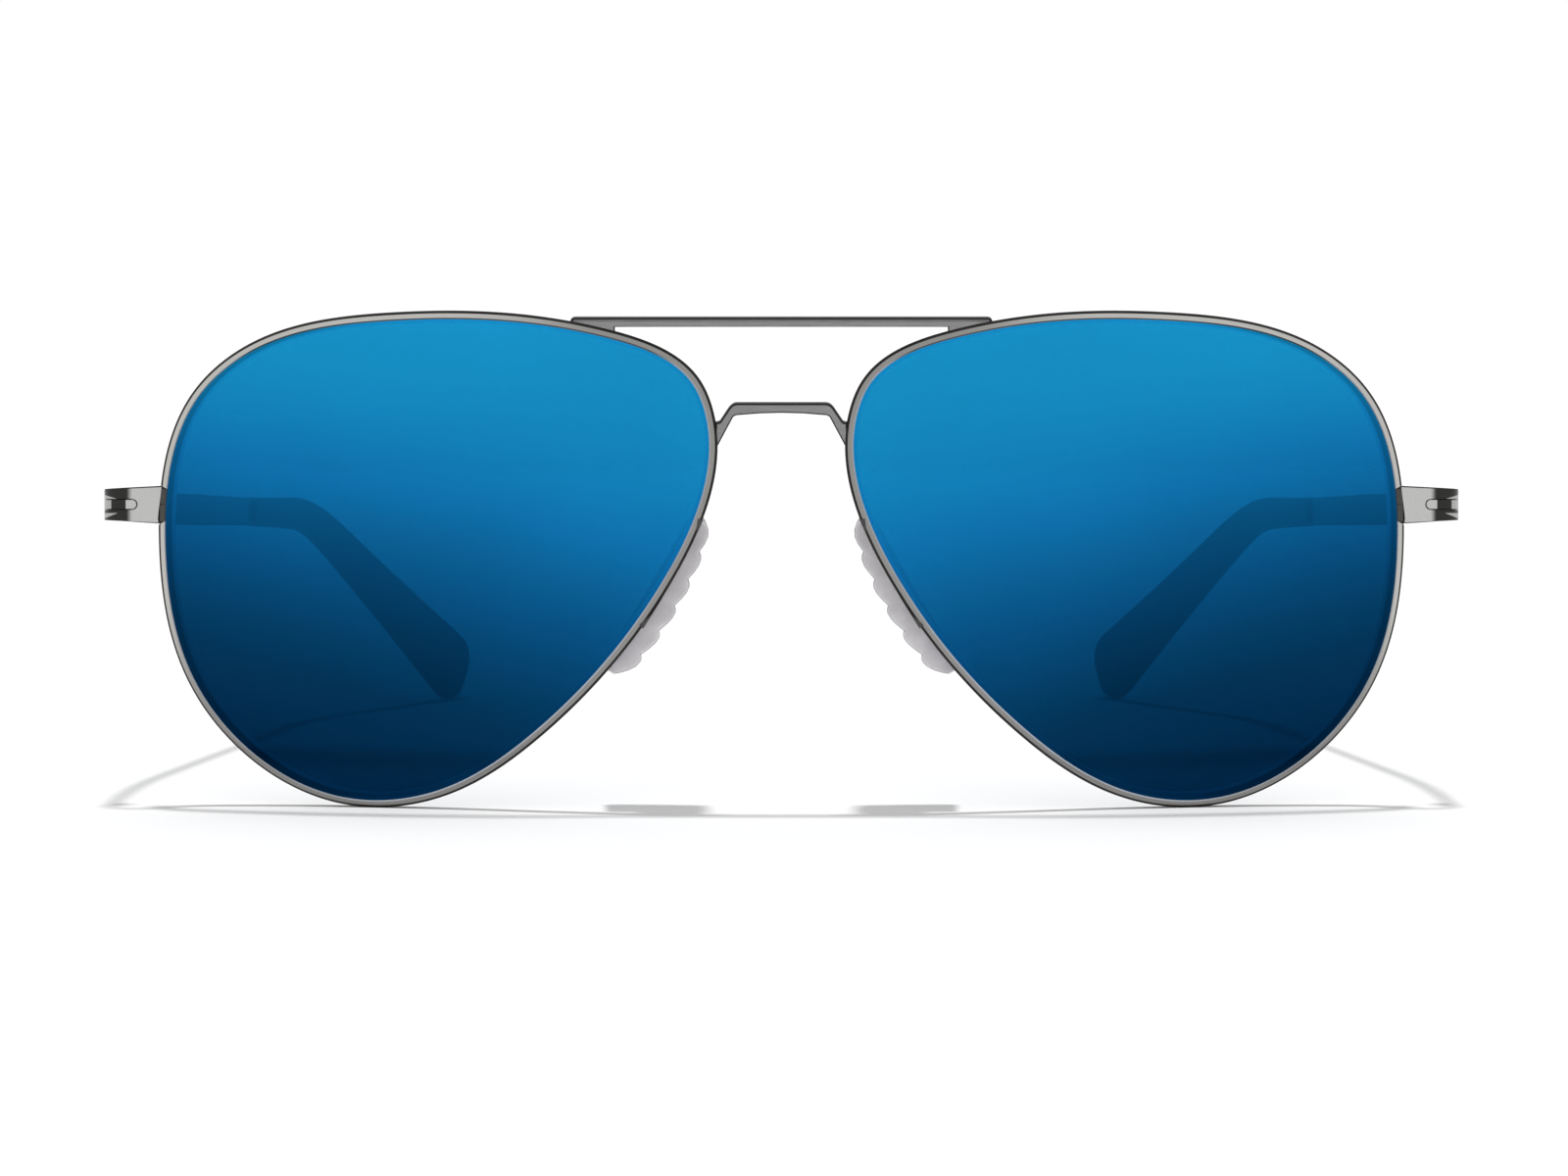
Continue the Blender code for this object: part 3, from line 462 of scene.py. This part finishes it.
def rim_tube():
    """The rim's channel right round the lens, with a softly crowned front."""
    offsets, depths, strips = zip(*rim_section())
    edges = [lens_edge(offset) for offset in offsets]
    rings = [
        [on_sphere(*edge[step], depth) for edge, depth in zip(edges, depths)]
        for step in range(OUTLINE_STEPS)
    ]
    return loft(rings, strips, "rim")


def block_opening():
    """The gap in the rim where the closing blocks sit, in the lens frame."""
    inner, outer = -RIM_DEPTH, RIM_DEPTH
    low, high = (BLOCK_HEIGHT / 2 + tan(BLOCK_SLANT) * across + BLOCK_GAP for across in (inner, outer))
    bm = bmesh.new()
    ends = []
    for back in (-RIM_DEPTH, 2 * RIM_DEPTH):
        outline = ((inner, -low), (outer, -high), (outer, high), (inner, low))
        ends.append([bm.verts.new((x, back, z)) for x, z in outline])
    bm.faces.new(ends[0])
    bm.faces.new(ends[1])
    for i in range(len(outline)):
        after = (i + 1) % len(outline)
        bm.faces.new((ends[0][i], ends[0][after], ends[1][after], ends[1][i]))
    bmesh.ops.recalc_face_normals(bm, faces=bm.faces)
    mesh = mesh_from(bm, "opening")
    mesh.transform(LENS_FRAME.inverted() @ end_frame())
    return mesh


def with_modifiers(mesh, add):
    """The mesh after the modifiers that add puts on it. add returns any helper objects."""
    body = bpy.data.objects.new("body", mesh)
    bpy.context.scene.collection.objects.link(body)
    helpers = add(body) or []
    for helper in helpers:
        bpy.context.scene.collection.objects.link(helper)
    result = bpy.data.meshes.new_from_object(body.evaluated_get(bpy.context.evaluated_depsgraph_get()))
    result.name = mesh.name
    for thing in [body] + helpers:
        bpy.data.objects.remove(thing)
    return result


def cut(mesh, tool):
    def add(body):
        helper = bpy.data.objects.new("tool", tool)
        modifier = body.modifiers.new("cut", "BOOLEAN")
        modifier.object = helper
        modifier.operation = "DIFFERENCE"
        return [helper]

    return with_modifiers(mesh, add)


def lens_mesh():
    """The lens: mirror front, V bevel and back."""
    middle = LENS_THICKNESS / 2
    seat = lens_edge(-BEVEL_REACH)
    tip = lens_edge(0.0)
    shares = [(i + 1) / LENS_RINGS for i in range(LENS_RINGS)]
    rings = [(seat * share, 0.0, COAT) for share in shares]
    rings += [
        (seat, middle - BEVEL_HALF, EDGE),
        (tip, middle, EDGE),
        (seat, middle + BEVEL_HALF, EDGE),
        (seat, LENS_THICKNESS, EDGE),
    ]
    rings += [(seat * share, LENS_THICKNESS, BACK) for share in shares[-2::-1]]
    bm = bmesh.new()
    loops = [[bm.verts.new(on_sphere(x, y, depth)) for x, y in ring] for ring, depth, strip in rings]
    strips = [strip for ring, depth, strip in rings]
    for first, second, strip in zip(loops, loops[1:], strips[1:]):
        for i in range(OUTLINE_STEPS):
            after = (i + 1) % OUTLINE_STEPS
            face = bm.faces.new((first[i], first[after], second[after], second[i]))
            face.material_index = strip
    for loop, depth, strip in ((loops[0], 0.0, COAT), (loops[-1], LENS_THICKNESS, BACK)):
        centre = bm.verts.new(on_sphere(0, 0, depth))
        for i in range(OUTLINE_STEPS):
            face = bm.faces.new((loop[i], loop[(i + 1) % OUTLINE_STEPS], centre))
            face.material_index = strip
    bmesh.ops.recalc_face_normals(bm, faces=bm.faces)
    return mesh_from(bm, "lens")


# ---------------------------------------------------------------- meshes from the CAD nodes


def welded(name):
    """A CAD node's mesh to edit, with its facets joined along their seams."""
    bm = bmesh.new()
    bm.from_mesh(frame["nodes"][name].data)
    bmesh.ops.remove_doubles(bm, verts=bm.verts, dist=SEAM)
    return bm


def unmarked(bm, name, sharp):
    """The edited mesh, shaded smooth, without the normals and the sharp marks of the CAD's."""
    mesh = mesh_from(bm, name)
    for attribute in ("custom_normal", "sharp_edge", "sharp_face"):
        if attribute in mesh.attributes:
            mesh.attributes.remove(mesh.attributes[attribute])
    return smooth(mesh, sharp)


def eased(name, width, paint=None, line=-1):
    """A machined CAD node with its sharp edges broken by a small bevel.

    paint sets the faces' material numbers before the edges are broken. line is the bevel's own
    number, or -1 for that of the faces beside it."""
    bm = welded(name)
    bmesh.ops.dissolve_limit(
        bm, angle_limit=FACETS_FLAT, use_dissolve_boundaries=False, verts=bm.verts, edges=bm.edges
    )
    if paint:
        paint(bm)
    mesh = unmarked(bm, name + "_fine", MACHINED_SHARP)

    def add(body):
        bevel = body.modifiers.new("ease", "BEVEL")
        bevel.width = width
        bevel.segments = EASE_SEGMENTS
        bevel.limit_method = "ANGLE"
        bevel.angle_limit = MACHINED_SHARP
        bevel.use_clamp_overlap = True
        bevel.material = line
        flat = body.modifiers.new("flat", "WEIGHTED_NORMAL")
        flat.keep_sharp = True
        flat.weight = 100

    return with_modifiers(mesh, add)


def moulded(name):
    """A lofted CAD node as a subdivided skin. Only its creases stay sharp."""
    bm = welded(name)
    bmesh.ops.join_triangles(
        bm, faces=bm.faces, cmp_seam=False, cmp_sharp=False, cmp_uvs=False, cmp_vcols=False,
        cmp_materials=False, angle_face_threshold=QUAD_BEND, angle_shape_threshold=QUAD_SHAPE,
    )
    crease = bm.edges.layers.float.new("crease_edge")
    for edge in bm.edges:
        if len(edge.link_faces) == 2 and edge.calc_face_angle() > MOULDED_CREASE:
            edge[crease] = 1.0
    mesh = unmarked(bm, name + "_fine", radians(180))

    def add(body):
        skin = body.modifiers.new("skin", "SUBSURF")
        skin.levels = TIP_LEVELS
        skin.render_levels = TIP_LEVELS

    return smooth(with_modifiers(mesh, add), MOULDED_SHARP)


def bar_painter(width, under):
    """For the bars: bright in front, but with painted shade, dark, on a strip of the width along the upper edges.

    under is the material of the faces that look down and forwards."""
    def paint(bm):
        for face in bm.faces:
            below = face.normal.dot(FORWARD) > FACES_AHEAD and face.normal.z < -FACES_DOWN
            face.material_index = under if below else DARK
        front = [face for face in bm.faces if face.normal.dot(FORWARD) > FACES_STRAIGHT_AHEAD]
        strips = bmesh.ops.inset_region(bm, faces=front, thickness=width, use_even_offset=True)["faces"]
        inside = set(front) | set(strips)
        for face in front:
            face.material_index = BRIGHT
        for face in strips:
            outer = [edge for edge in face.edges if not inside.intersection(edge.link_faces) - {face}]
            rise = sum((edge.verts[0].co.z + edge.verts[1].co.z) / 2 for edge in outer) / max(len(outer), 1)
            upper = outer and rise > face.calc_center_median().z + 0.1 * width
            face.material_index = DARK if upper else BRIGHT

    return paint


def end_painter(bm):
    """For the end pieces: painted shade, dark on the faces that look up and down."""
    for face in bm.faces:
        face.material_index = DARK if abs(face.normal.z) > END_FACES_UP else BRIGHT


def block_painter(facing):
    """For a closing block: dark on the end that faces up (1) or down (-1)."""
    def paint(bm):
        end = max(vertex.co.z * facing for vertex in bm.verts) - BLOCK_CAP
        everything = bm.verts[:] + bm.edges[:] + bm.faces[:]
        bmesh.ops.bisect_plane(bm, geom=everything, plane_co=(0, 0, facing * end), plane_no=(0, 0, 1))
        for face in bm.faces:
            face.material_index = DARK if face.calc_center_median().z * facing > end else BRIGHT

    return paint


def arm_painter(bm):
    """For the temples: painted shade, dark above and below, and the hook that shows in the end piece matches it.
    """
    hook_end = frame["joints"][0]["pos_m"][1] + HOOK_REACH
    for face in bm.faces:
        flat = DARK if abs(face.normal.z) > ARM_FACES_UP else BRIGHT
        face.material_index = flat + (HOOK if face.calc_center_median().y < hook_end else 0)


# ---------------------------------------------------------------- materials


def brushed(name, light, dark, scale, along_wire=False, shade=None):
    """Metal with fine polishing lines. Scale is the noise's, along the three coordinates."""
    material, tree, shader = new_material(name)
    place = object_place(tree)
    line_place = node(tree, "UVMap", uv_map=WIRE_MAP).outputs["UV"] if along_wire else place
    stretched = node(tree, "Mapping", {"Vector": line_place, "Scale": scale}).outputs["Vector"]
    lines = noise(tree, stretched, 1.0, 5.0, 0.65)
    colour = mixed(tree, span(tree, lines, 0.28, 0.72), dark, light)
    # A painted reflection or shade, where one is given, multiplies the colour.
    if shade is not None:
        colour = mixed(tree, 1.0, colour, shade(tree), "MULTIPLY")
    set_colour(tree, shader, brightened(tree, colour, noise(tree, place, 160.0), 0.95, 1.0))
    shader.inputs["Metallic"].default_value = 1.0
    set_roughness(tree, shader, lines, 0.26, 0.40)
    add_relief(tree, shader, lines, 0.12)
    return material


def rim_painted_reflection(tree):
    """A painted reflection: each rim's face is painted brighter round its top and outer side, and darker
    elsewhere.
    """
    outboard, up = 0.687, 0.727
    dim_to, bright_from = 0.0295, 0.0425
    painted_dim = (0.55, 0.55, 0.555, 1.0)
    place = across_and_up(tree, outboard, up, LENS_CENTRE_HEIGHT)
    return mixed(tree, span(tree, place, dim_to, bright_from, smooth=True), painted_dim, WHITE)


def plated(name, colour, worn_colour, roughness=0.40, metallic=0.0, shine=0.12):
    """Metal with a fine satin grain. Without a metallic part and with little shine it stands for blackened metal,
    and on the dark sides and edges of the rims, bars, end pieces and temples for painted shade.
    """
    material, tree, shader = new_material(name)
    place = object_place(tree)
    specks = noise(tree, place, 9000.0, 3.0, 0.6)
    wear = product(tree, specks, noise(tree, place, 300.0))
    set_colour(tree, shader, mixed(tree, span(tree, wear, 0.15, 0.35), worn_colour, colour))
    shader.inputs["Metallic"].default_value = metallic
    shader.inputs["Specular IOR Level"].default_value = shine
    set_roughness(tree, shader, specks, roughness - 0.06, roughness + 0.08)
    add_relief(tree, shader, specks, 0.15)
    return material


def painted_highlight_mask(tree, inwards, height, streak):
    """Where a painted highlight lies, as a streak at the outer end of a plate.

    The streak is (side, start, width, length): it lies from start to start and width above (1) or
    below (-1) the hinge's middle at the outer face, and narrows to nothing over its length."""
    side, start, width, length = streak
    blur = 0.00004
    end_blur = 0.0001
    rise = difference(tree, product(tree, height, side), start)
    limit = span(tree, inwards, length, 0.0, 0.0, width)
    below = span(tree, difference(tree, limit, rise), -blur, blur, smooth=True)
    above = span(tree, rise, -blur, blur, smooth=True)
    near = span(tree, inwards, length, length - end_blur)
    return product(tree, product(tree, below, above), near)


def off_slot(tree, inwards, height):
    """The distance from the end piece's slot: straight to the centre of its end, and round from there."""
    past_centre = calc(tree, "MAXIMUM", difference(tree, inwards, SLOT_REACH - SLOT_RADIUS), 0.0)
    squares = calc(tree, "MULTIPLY_ADD", past_centre, past_centre, product(tree, height, height))
    return calc(tree, "ABSOLUTE", difference(tree, calc(tree, "SQRT", squares), SLOT_RADIUS))


def end_skin(name, bright_from, streaks):
    """The bent end plates: painted bright in front and dark round the bend, as a painted reflection, with painted
    highlights in streaks.

    bright_from gives the distances from the outer face where the front brightens. The slot has a
    dark line round it, a painted shadow in its gap, and the side that faces outwards is grey."""
    material, tree, shader = new_material(name)
    coordinates = node(tree, "TexCoord").outputs
    sideways = calc(tree, "ABSOLUTE", parts_of(tree, coordinates["Normal"])["X"])
    place = folded_place(tree)
    inwards = difference(tree, CAD_BOX[1].x, parts_of(tree, place)["X"])
    hinge = frame["joints"][0]
    from_hinge = vector_calc(tree, "SUBTRACT", place, hinge["pos_m"])
    height = vector_calc(tree, "DOT_PRODUCT", from_hinge, hinge["axis"], "Value")
    dark, light, highlight_colour, outer, line = (steel(level) for level in (52, 190, 172, 138, 34))
    # Painted reflection: the front is bright and the bend round it dark.
    colour = mixed(tree, span(tree, inwards, *bright_from, smooth=True), dark, light)
    # Painted highlights, as streaks.
    for streak in streaks:
        colour = mixed(tree, painted_highlight_mask(tree, inwards, height, streak), colour, highlight_colour)
    colour = mixed(tree, span(tree, sideways, 0.95, 0.99), colour, outer)
    colour = mixed(tree, span(tree, off_slot(tree, inwards, height), *SLOT_PAINTED_SHADOW), line, colour)
    grain = noise(tree, coordinates["Object"], 7000.0, 3.0)
    worn = wandering(tree, grain, grey(0.92), WHITE)
    set_colour(tree, shader, mixed(tree, 1.0, colour, worn, "MULTIPLY"))
    shader.inputs["Metallic"].default_value = 1.0
    set_roughness(tree, shader, grain, 0.26, 0.38)
    add_relief(tree, shader, grain, 0.06)
    return material


def rim_lip():
    """The thin chamfer against the lens and the wall under it: light, but with painted shade along the top."""
    material, tree, shader = new_material("rim_lip")
    grain = noise(tree, object_place(tree), 6000.0, 3.0)
    light = wandering(tree, grain, srgb(158, 164, 171), srgb(170, 176, 184))
    light_to, dark_from = 0.0205, 0.0225
    height = across_and_up(tree, 0.0, 1.0, LENS_CENTRE_HEIGHT)
    # Painted shade: above these heights the lip turns dark.
    top = span(tree, height, light_to, dark_from, smooth=True)
    set_colour(tree, shader, mixed(tree, top, light, srgb(84, 84, 86)))
    shader.inputs["Specular IOR Level"].default_value = 0.2
    set_roughness(tree, shader, grain, 0.35, 0.5)
    return material


def tint_and_painted_reflection(tree):
    """The coat's colours, partly the lens's own tint and partly a painted reflection: light blue above, navy
    below, and lighter towards the nose low down.

    They follow the height over the lens's centre, raised on the nose's side of even_at and
    lowered on the other, by a slope that is steeper low down."""
    even_at = 0.036
    slope, slope_change = 0.24, 6.0
    reach = 0.026
    height = across_and_up(tree, 0.0, 1.0, LENS_CENTRE_HEIGHT)
    noseward = difference(tree, even_at, across_and_up(tree, 1.0, 0.0))
    steepness = difference(tree, slope, product(tree, height, slope_change))
    place = calc(tree, "MULTIPLY_ADD", noseward, steepness, height)
    return ramp(tree, span(tree, place, -reach, reach), (
        (0.00, srgb(2, 41, 74)),
        (0.05, srgb(3, 43, 76)),
        (0.21, srgb(4, 52, 88)),
        (0.30, srgb(5, 61, 100)),
        (0.39, srgb(7, 72, 118)),
        (0.465, srgb(9, 83, 133)),
        (0.54, srgb(12, 95, 148)),
        (0.64, srgb(15, 111, 169)),
        (0.72, srgb(18, 123, 180)),
        (0.80, srgb(20, 134, 189)),
        (0.88, srgb(22, 141, 194)),
        (1.00, srgb(24, 146, 201)),
    ))


def mirror_coat():
    """The lens's front: half of it reflects as blue metal and half lets tinted light through. Its colours are
    partly the lens's own tint and partly a painted reflection.
    """
    material, tree, shader = new_material("blue_mirror")
    haze = noise(tree, object_place(tree), 55.0, 1.0, 0.4)
    tinted = brightened(tree, tint_and_painted_reflection(tree), haze, 0.97, 1.03)
    set_colour(tree, shader, mixed(tree, 1.0, tinted, grey(1.14), "MULTIPLY"))
    shader.inputs["Metallic"].default_value = 1.0
    set_roughness(tree, shader, haze, 0.05, 0.09)
    make_clear(tree, shader, tinted, 0.50)
    return material


def lens_back():
    """The lens's back: clear polished plastic with a faint reflection."""
    material, tree, shader = new_material("lens_back")
    haze = noise(tree, object_place(tree), 70.0)
    set_colour(tree, shader, wandering(tree, haze, srgb(20, 26, 34), srgb(26, 33, 42)))
    set_roughness(tree, shader, haze, 0.04, 0.08)
    shader.inputs["Specular IOR Level"].default_value = 0.06
    make_clear(tree, shader, grey(0.92), 0.18)
    return material


def lens_rim():
    """The ground edge of the lens, painted light and given a painted glow, so that it does not show dark.

    Its front strip is dark at the outer side, a painted shadow of the rim."""
    material, tree, shader = new_material("lens_edge")
    grain = noise(tree, object_place(tree), 4000.0, 3.0)
    painted_glow_colour = wandering(tree, grain, srgb(226, 229, 233), srgb(240, 242, 245))
    strip_end, strip_full = 0.00145, 0.0013
    shade_start, shade_full = 0.040, 0.052
    centre = FRONT @ LENS_FRAME @ Vector((0, BASE_RADIUS, 0))
    reach = vector_calc(tree, "DISTANCE", folded_place(tree), centre, "Value")
    in_front = span(tree, reach, BASE_RADIUS - strip_end, BASE_RADIUS - strip_full, smooth=True)
    outer = span(tree, across_and_up(tree, 1.0, 0.0), shade_start, shade_full, smooth=True)
    colour = mixed(tree, product(tree, in_front, outer), painted_glow_colour, srgb(40, 46, 54))
    set_colour(tree, shader, colour)
    # A painted glow: the edge gives off light of its own.
    tree.links.new(colour, shader.inputs["Emission Color"])
    shader.inputs["Emission Strength"].default_value = 0.38
    set_roughness(tree, shader, grain, 0.35, 0.5)
    return material


def silicone():
    """Cloudy soft silicone for the nose pads, with painted light and shade: the plain side, which faces the lens,
    is painted near white, and the lobes are painted darker where they are seen edge on.
    """
    material, tree, shader = new_material("pad_silicone")
    coordinates = node(tree, "TexCoord").outputs
    place = coordinates["Object"]
    cloud = noise(tree, place, 420.0, 4.0, 0.55)
    lobes = wandering(tree, cloud, srgb(208, 204, 208), srgb(226, 223, 226))
    turn = parts_of(tree, coordinates["Normal"])["X"]
    # Painted light: the plain side is painted near white.
    plain = span(tree, product(tree, turn, parts_of(tree, place)["X"]), 0.001, 0.005)
    # Painted shade: darker where the lobes are seen edge on.
    painted_edge_shade = span(tree, node(tree, "LayerWeight", {"Blend": 0.5}).outputs["Facing"], 0.45, 0.95)
    edge_shaded = mixed(tree, painted_edge_shade, lobes, srgb(146, 144, 148))
    set_colour(tree, shader, mixed(tree, plain, edge_shaded, srgb(246, 245, 247)))
    set_roughness(tree, shader, cloud, 0.42, 0.56)
    shader.inputs["Specular IOR Level"].default_value = 0.25
    shader.inputs["Subsurface Weight"].default_value = 0.35
    shader.inputs["Subsurface Radius"].default_value = (1.0, 0.95, 0.95)
    shader.inputs["Subsurface Scale"].default_value = 0.0008
    add_relief(tree, shader, noise(tree, place, 5200.0), 0.2)
    return material


def soft_black():
    """Matte black rubber for the temple tips."""
    material, tree, shader = new_material("tip_rubber")
    place = object_place(tree)
    fine = noise(tree, place, 6500.0, 3.0, 0.6)
    cloud = noise(tree, place, 140.0)
    set_colour(tree, shader, wandering(tree, cloud, srgb(30, 30, 33), srgb(42, 42, 45)))
    set_roughness(tree, shader, fine, 0.42, 0.58)
    add_relief(tree, shader, fine, 0.35, 0.00003)
    return material


def paper():
    """Plain matt white paper for the floor."""
    material, tree, shader = new_material("paper")
    fibre = noise(tree, object_place(tree), 900.0, 3.0)
    low, high = grey(FLOOR_COLOUR - FLOOR_VARIES), grey(FLOOR_COLOUR + FLOOR_VARIES)
    set_colour(tree, shader, wandering(tree, fibre, low, high))
    shader.inputs["Roughness"].default_value = 0.9
    shader.inputs["Specular IOR Level"].default_value = 0.0
    return material


# ---------------------------------------------------------------- stage


def add_camera():
    data = bpy.data.cameras.new("camera")
    data.sensor_width = CAMERA_SENSOR
    data.sensor_fit = "HORIZONTAL"
    data.lens = CAMERA_LENS
    data.clip_start = CAMERA_NEAREST
    camera = bpy.data.objects.new("camera", data)
    camera.location = (CAMERA_SIDE, CAD_BOX[0].y - CAMERA_BACK, CAMERA_HEIGHT)
    camera.rotation_euler = (radians(90) - CAMERA_PITCH, 0, 0)
    bpy.context.scene.collection.objects.link(camera)
    bpy.context.scene.camera = camera


def add_overhead():
    """Light from above and a little behind, which only matt surfaces take up. It draws the shadow."""
    data = bpy.data.lights.new("overhead", "SUN")
    data.energy = OVERHEAD
    data.angle = OVERHEAD_SPREAD
    sun = bpy.data.objects.new("overhead", data)
    sun.rotation_euler = (-OVERHEAD_LEAN, 0, 0)
    sun.visible_glossy = False
    bpy.context.scene.collection.objects.link(sun)


def add_world():
    """An even white room, full bright where it is seen, reflected or seen through clear parts."""
    world = bpy.data.worlds.new("studio")
    world.use_nodes = True
    bpy.context.scene.world = world
    tree = world.node_tree
    background = tree.nodes["Background"]
    background.inputs["Color"].default_value = WHITE
    rays = node(tree, "LightPath").outputs
    seen = calc(tree, "MAXIMUM", rays["Is Camera Ray"], rays["Is Glossy Ray"])
    seen = calc(tree, "MAXIMUM", seen, rays["Is Transmission Ray"])
    tree.links.new(span(tree, seen, 0.0, 1.0, WORLD_FILL, 1.0), background.inputs["Strength"])


def add_floor():
    """The floor lies under the rims' outline, which reaches a little below the model."""
    level = -RIM_OUTLINE
    sides = ((-1, -1), (1, -1), (1, 1), (-1, 1))
    mesh = bpy.data.meshes.new("floor")
    mesh.from_pydata([(x * FLOOR_HALF, y * FLOOR_HALF, level) for x, y in sides], [], [(0, 1, 2, 3)])
    mesh.materials.append(paper())
    floor = bpy.data.objects.new("floor", mesh)
    bpy.context.scene.collection.objects.link(floor)


def set_stage():
    bpy.context.scene.view_settings.view_transform = "Standard"
    add_world()
    add_overhead()
    add_floor()


# ---------------------------------------------------------------- pieces


def add_piece(name, mesh, materials, body, replaced):
    """A piece that rides on a body and stands for a CAD node."""
    for material in materials:
        mesh.materials.append(material)
    piece = bpy.data.objects.new(name, mesh)
    bpy.context.scene.collection.objects.link(piece)
    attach(piece, body)
    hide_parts(replaced)
    return piece


def glasses_matrix():
    """From the front's own frame, drawn upright, to the model's: it leans until rims and tips touch.

    The drawn rim is wider than the model's by its outline, so its box starts that much earlier."""
    axis = frame["record"]["mounts"][0]["axis"]
    lean = Matrix.Rotation(atan2(-axis[2], -axis[1]), 4, "X")
    turn = lean @ LENS_FRAME
    corners = np.array([turn @ vertex.co for vertex in RIM.vertices])
    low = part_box("rim_left")[0] - Vector((RIM_OUTLINE, 0, RIM_OUTLINE))
    return Matrix.Translation(low - Vector(corners.min(axis=0))) @ lean


def side_mesh(mesh, facing):
    """A copy of a lens-frame mesh in the model's frame, mirrored for the wearer's right."""
    copy = mesh.copy()
    turn = FRONT @ Matrix.Scale(facing, 4, (1, 0, 0)) @ LENS_FRAME
    copy.transform(turn)
    if turn.determinant() < 0:
        copy.flip_normals()
    return copy


add_camera()

RIM = smooth(cut(rim_tube(), block_opening()), DRAWN_SHARP)
LENS = smooth(lens_mesh(), DRAWN_SHARP)

FRONT = glasses_matrix()
LENS_CENTRE_HEIGHT = FRONT.translation.z
FORWARD = (FRONT.to_3x3() @ Vector((0, -1, 0))).normalized()

wire_skins = (
    brushed(
        "rim_face", srgb(194, 192, 188), srgb(180, 178, 174), (900.0, 26000.0, 1.0),
        along_wire=True, shade=rim_painted_reflection,
    ),
    rim_lip(),
    # Painted shade: the rims' rounded sides, backs and grooves are painted near black.
    plated("rim_side_painted_shade", srgb(44, 43, 43), srgb(30, 29, 29)),
)
lens_skins = (mirror_coat(), lens_rim(), lens_back())
bar_skins = (
    brushed("bar_face", srgb(148, 148, 148), srgb(118, 118, 118), (500.0, 9000.0, 16000.0)),
    plated("bar_painted_shade", srgb(38, 38, 38), srgb(28, 28, 28)),
)
block_skins = (
    plated("block_dark", srgb(78, 78, 77), srgb(68, 68, 67)),
    plated("block_line", srgb(30, 30, 30), srgb(22, 22, 22)),
)
end_painted_shade = plated("end_painted_shade", srgb(44, 43, 43), srgb(32, 31, 31))
end_skins = (
    end_skin(
        "end_metal", (0.0026, 0.0033), ((1, 0.00055, 0.0005, 0.0017), (-1, 0.0009, 0.0006, 0.0017))
    ),
    end_painted_shade,
)
arm_skins = (
    brushed("arm_face", srgb(122, 122, 123), srgb(96, 96, 97), (9000.0, 380.0, 12000.0)),
    plated("arm_edge_painted_shade", srgb(62, 62, 63), srgb(48, 48, 49), shine=0.4),
    end_skin("hook_metal", (0.0025, 0.0026), ((1, -0.001, 0.08, 0.0010),)),
    end_painted_shade,
)
screw_skins = (
    plated("screw_metal", srgb(150, 150, 151), srgb(128, 128, 129), roughness=0.28, metallic=1.0),
)
plate_skins = (plated("plate_dark", srgb(82, 82, 82), srgb(66, 66, 66)),)
pad_skins = (silicone(),)
tip_skins = (soft_black(),)

for side, facing in (("left", 1), ("right", -1)):
    add_piece(f"rim_wire_{side}", side_mesh(RIM, facing), wire_skins, "front", f"rim_{side}")
    lens = add_piece(
        f"mirror_lens_{side}", side_mesh(LENS, facing), lens_skins, "front", f"lens_{side}"
    )
    lens.visible_shadow = False  # so that the floor shows only the wire's outline
    # The end plates' broken edges take painted shade too.
    add_piece(
        f"end_plate_{side}", eased(f"end_piece_{side}", PLATE_EASE, end_painter, DARK), end_skins,
        "front", f"end_piece_{side}",
    )
    for part, end in (("upper", 1), ("lower", -1)):
        block = f"closing_block_{part}_{side}"
        add_piece(
            f"rim_lock_{part}_{side}", eased(block, BLOCK_EASE, block_painter(end)), block_skins,
            "front", block,
        )
    for part in ("closing", "hinge"):
        screw = f"{part}_screw_{side}"
        add_piece(
            f"{part}_pin_{side}", eased(screw, SCREW_EASE), screw_skins, "front", screw
        )
    plate = f"nose_pad_plate_{side}"
    add_piece(f"pad_arm_{side}", eased(plate, BLOCK_EASE), plate_skins, "front", plate)
    pad = f"nose_pad_{side}"
    add_piece(f"pad_{side}", eased(pad, PAD_EASE), pad_skins, "front", pad)
    temple = f"temple_{side}"
    # The temples' broken edges take the end pieces' painted shade.
    add_piece(
        f"arm_{side}", eased(temple, PLATE_EASE, arm_painter, HOOK + DARK), arm_skins,
        f"{side}_temple", temple,
    )
    tip = f"temple_tip_{side}"
    add_piece(f"tip_{side}", moulded(tip), tip_skins, f"{side}_temple", tip)

# The bars' upper edges and sides take painted shade.
bar_painters = {"top_bar": bar_painter(BAR_STRIP, BRIGHT), "bridge": bar_painter(BRIDGE_STRIP, DARK)}
for name, painter in bar_painters.items():
    add_piece(f"{name}_wire", eased(name, BLOCK_EASE, painter), bar_skins, "front", name)

set_stage()
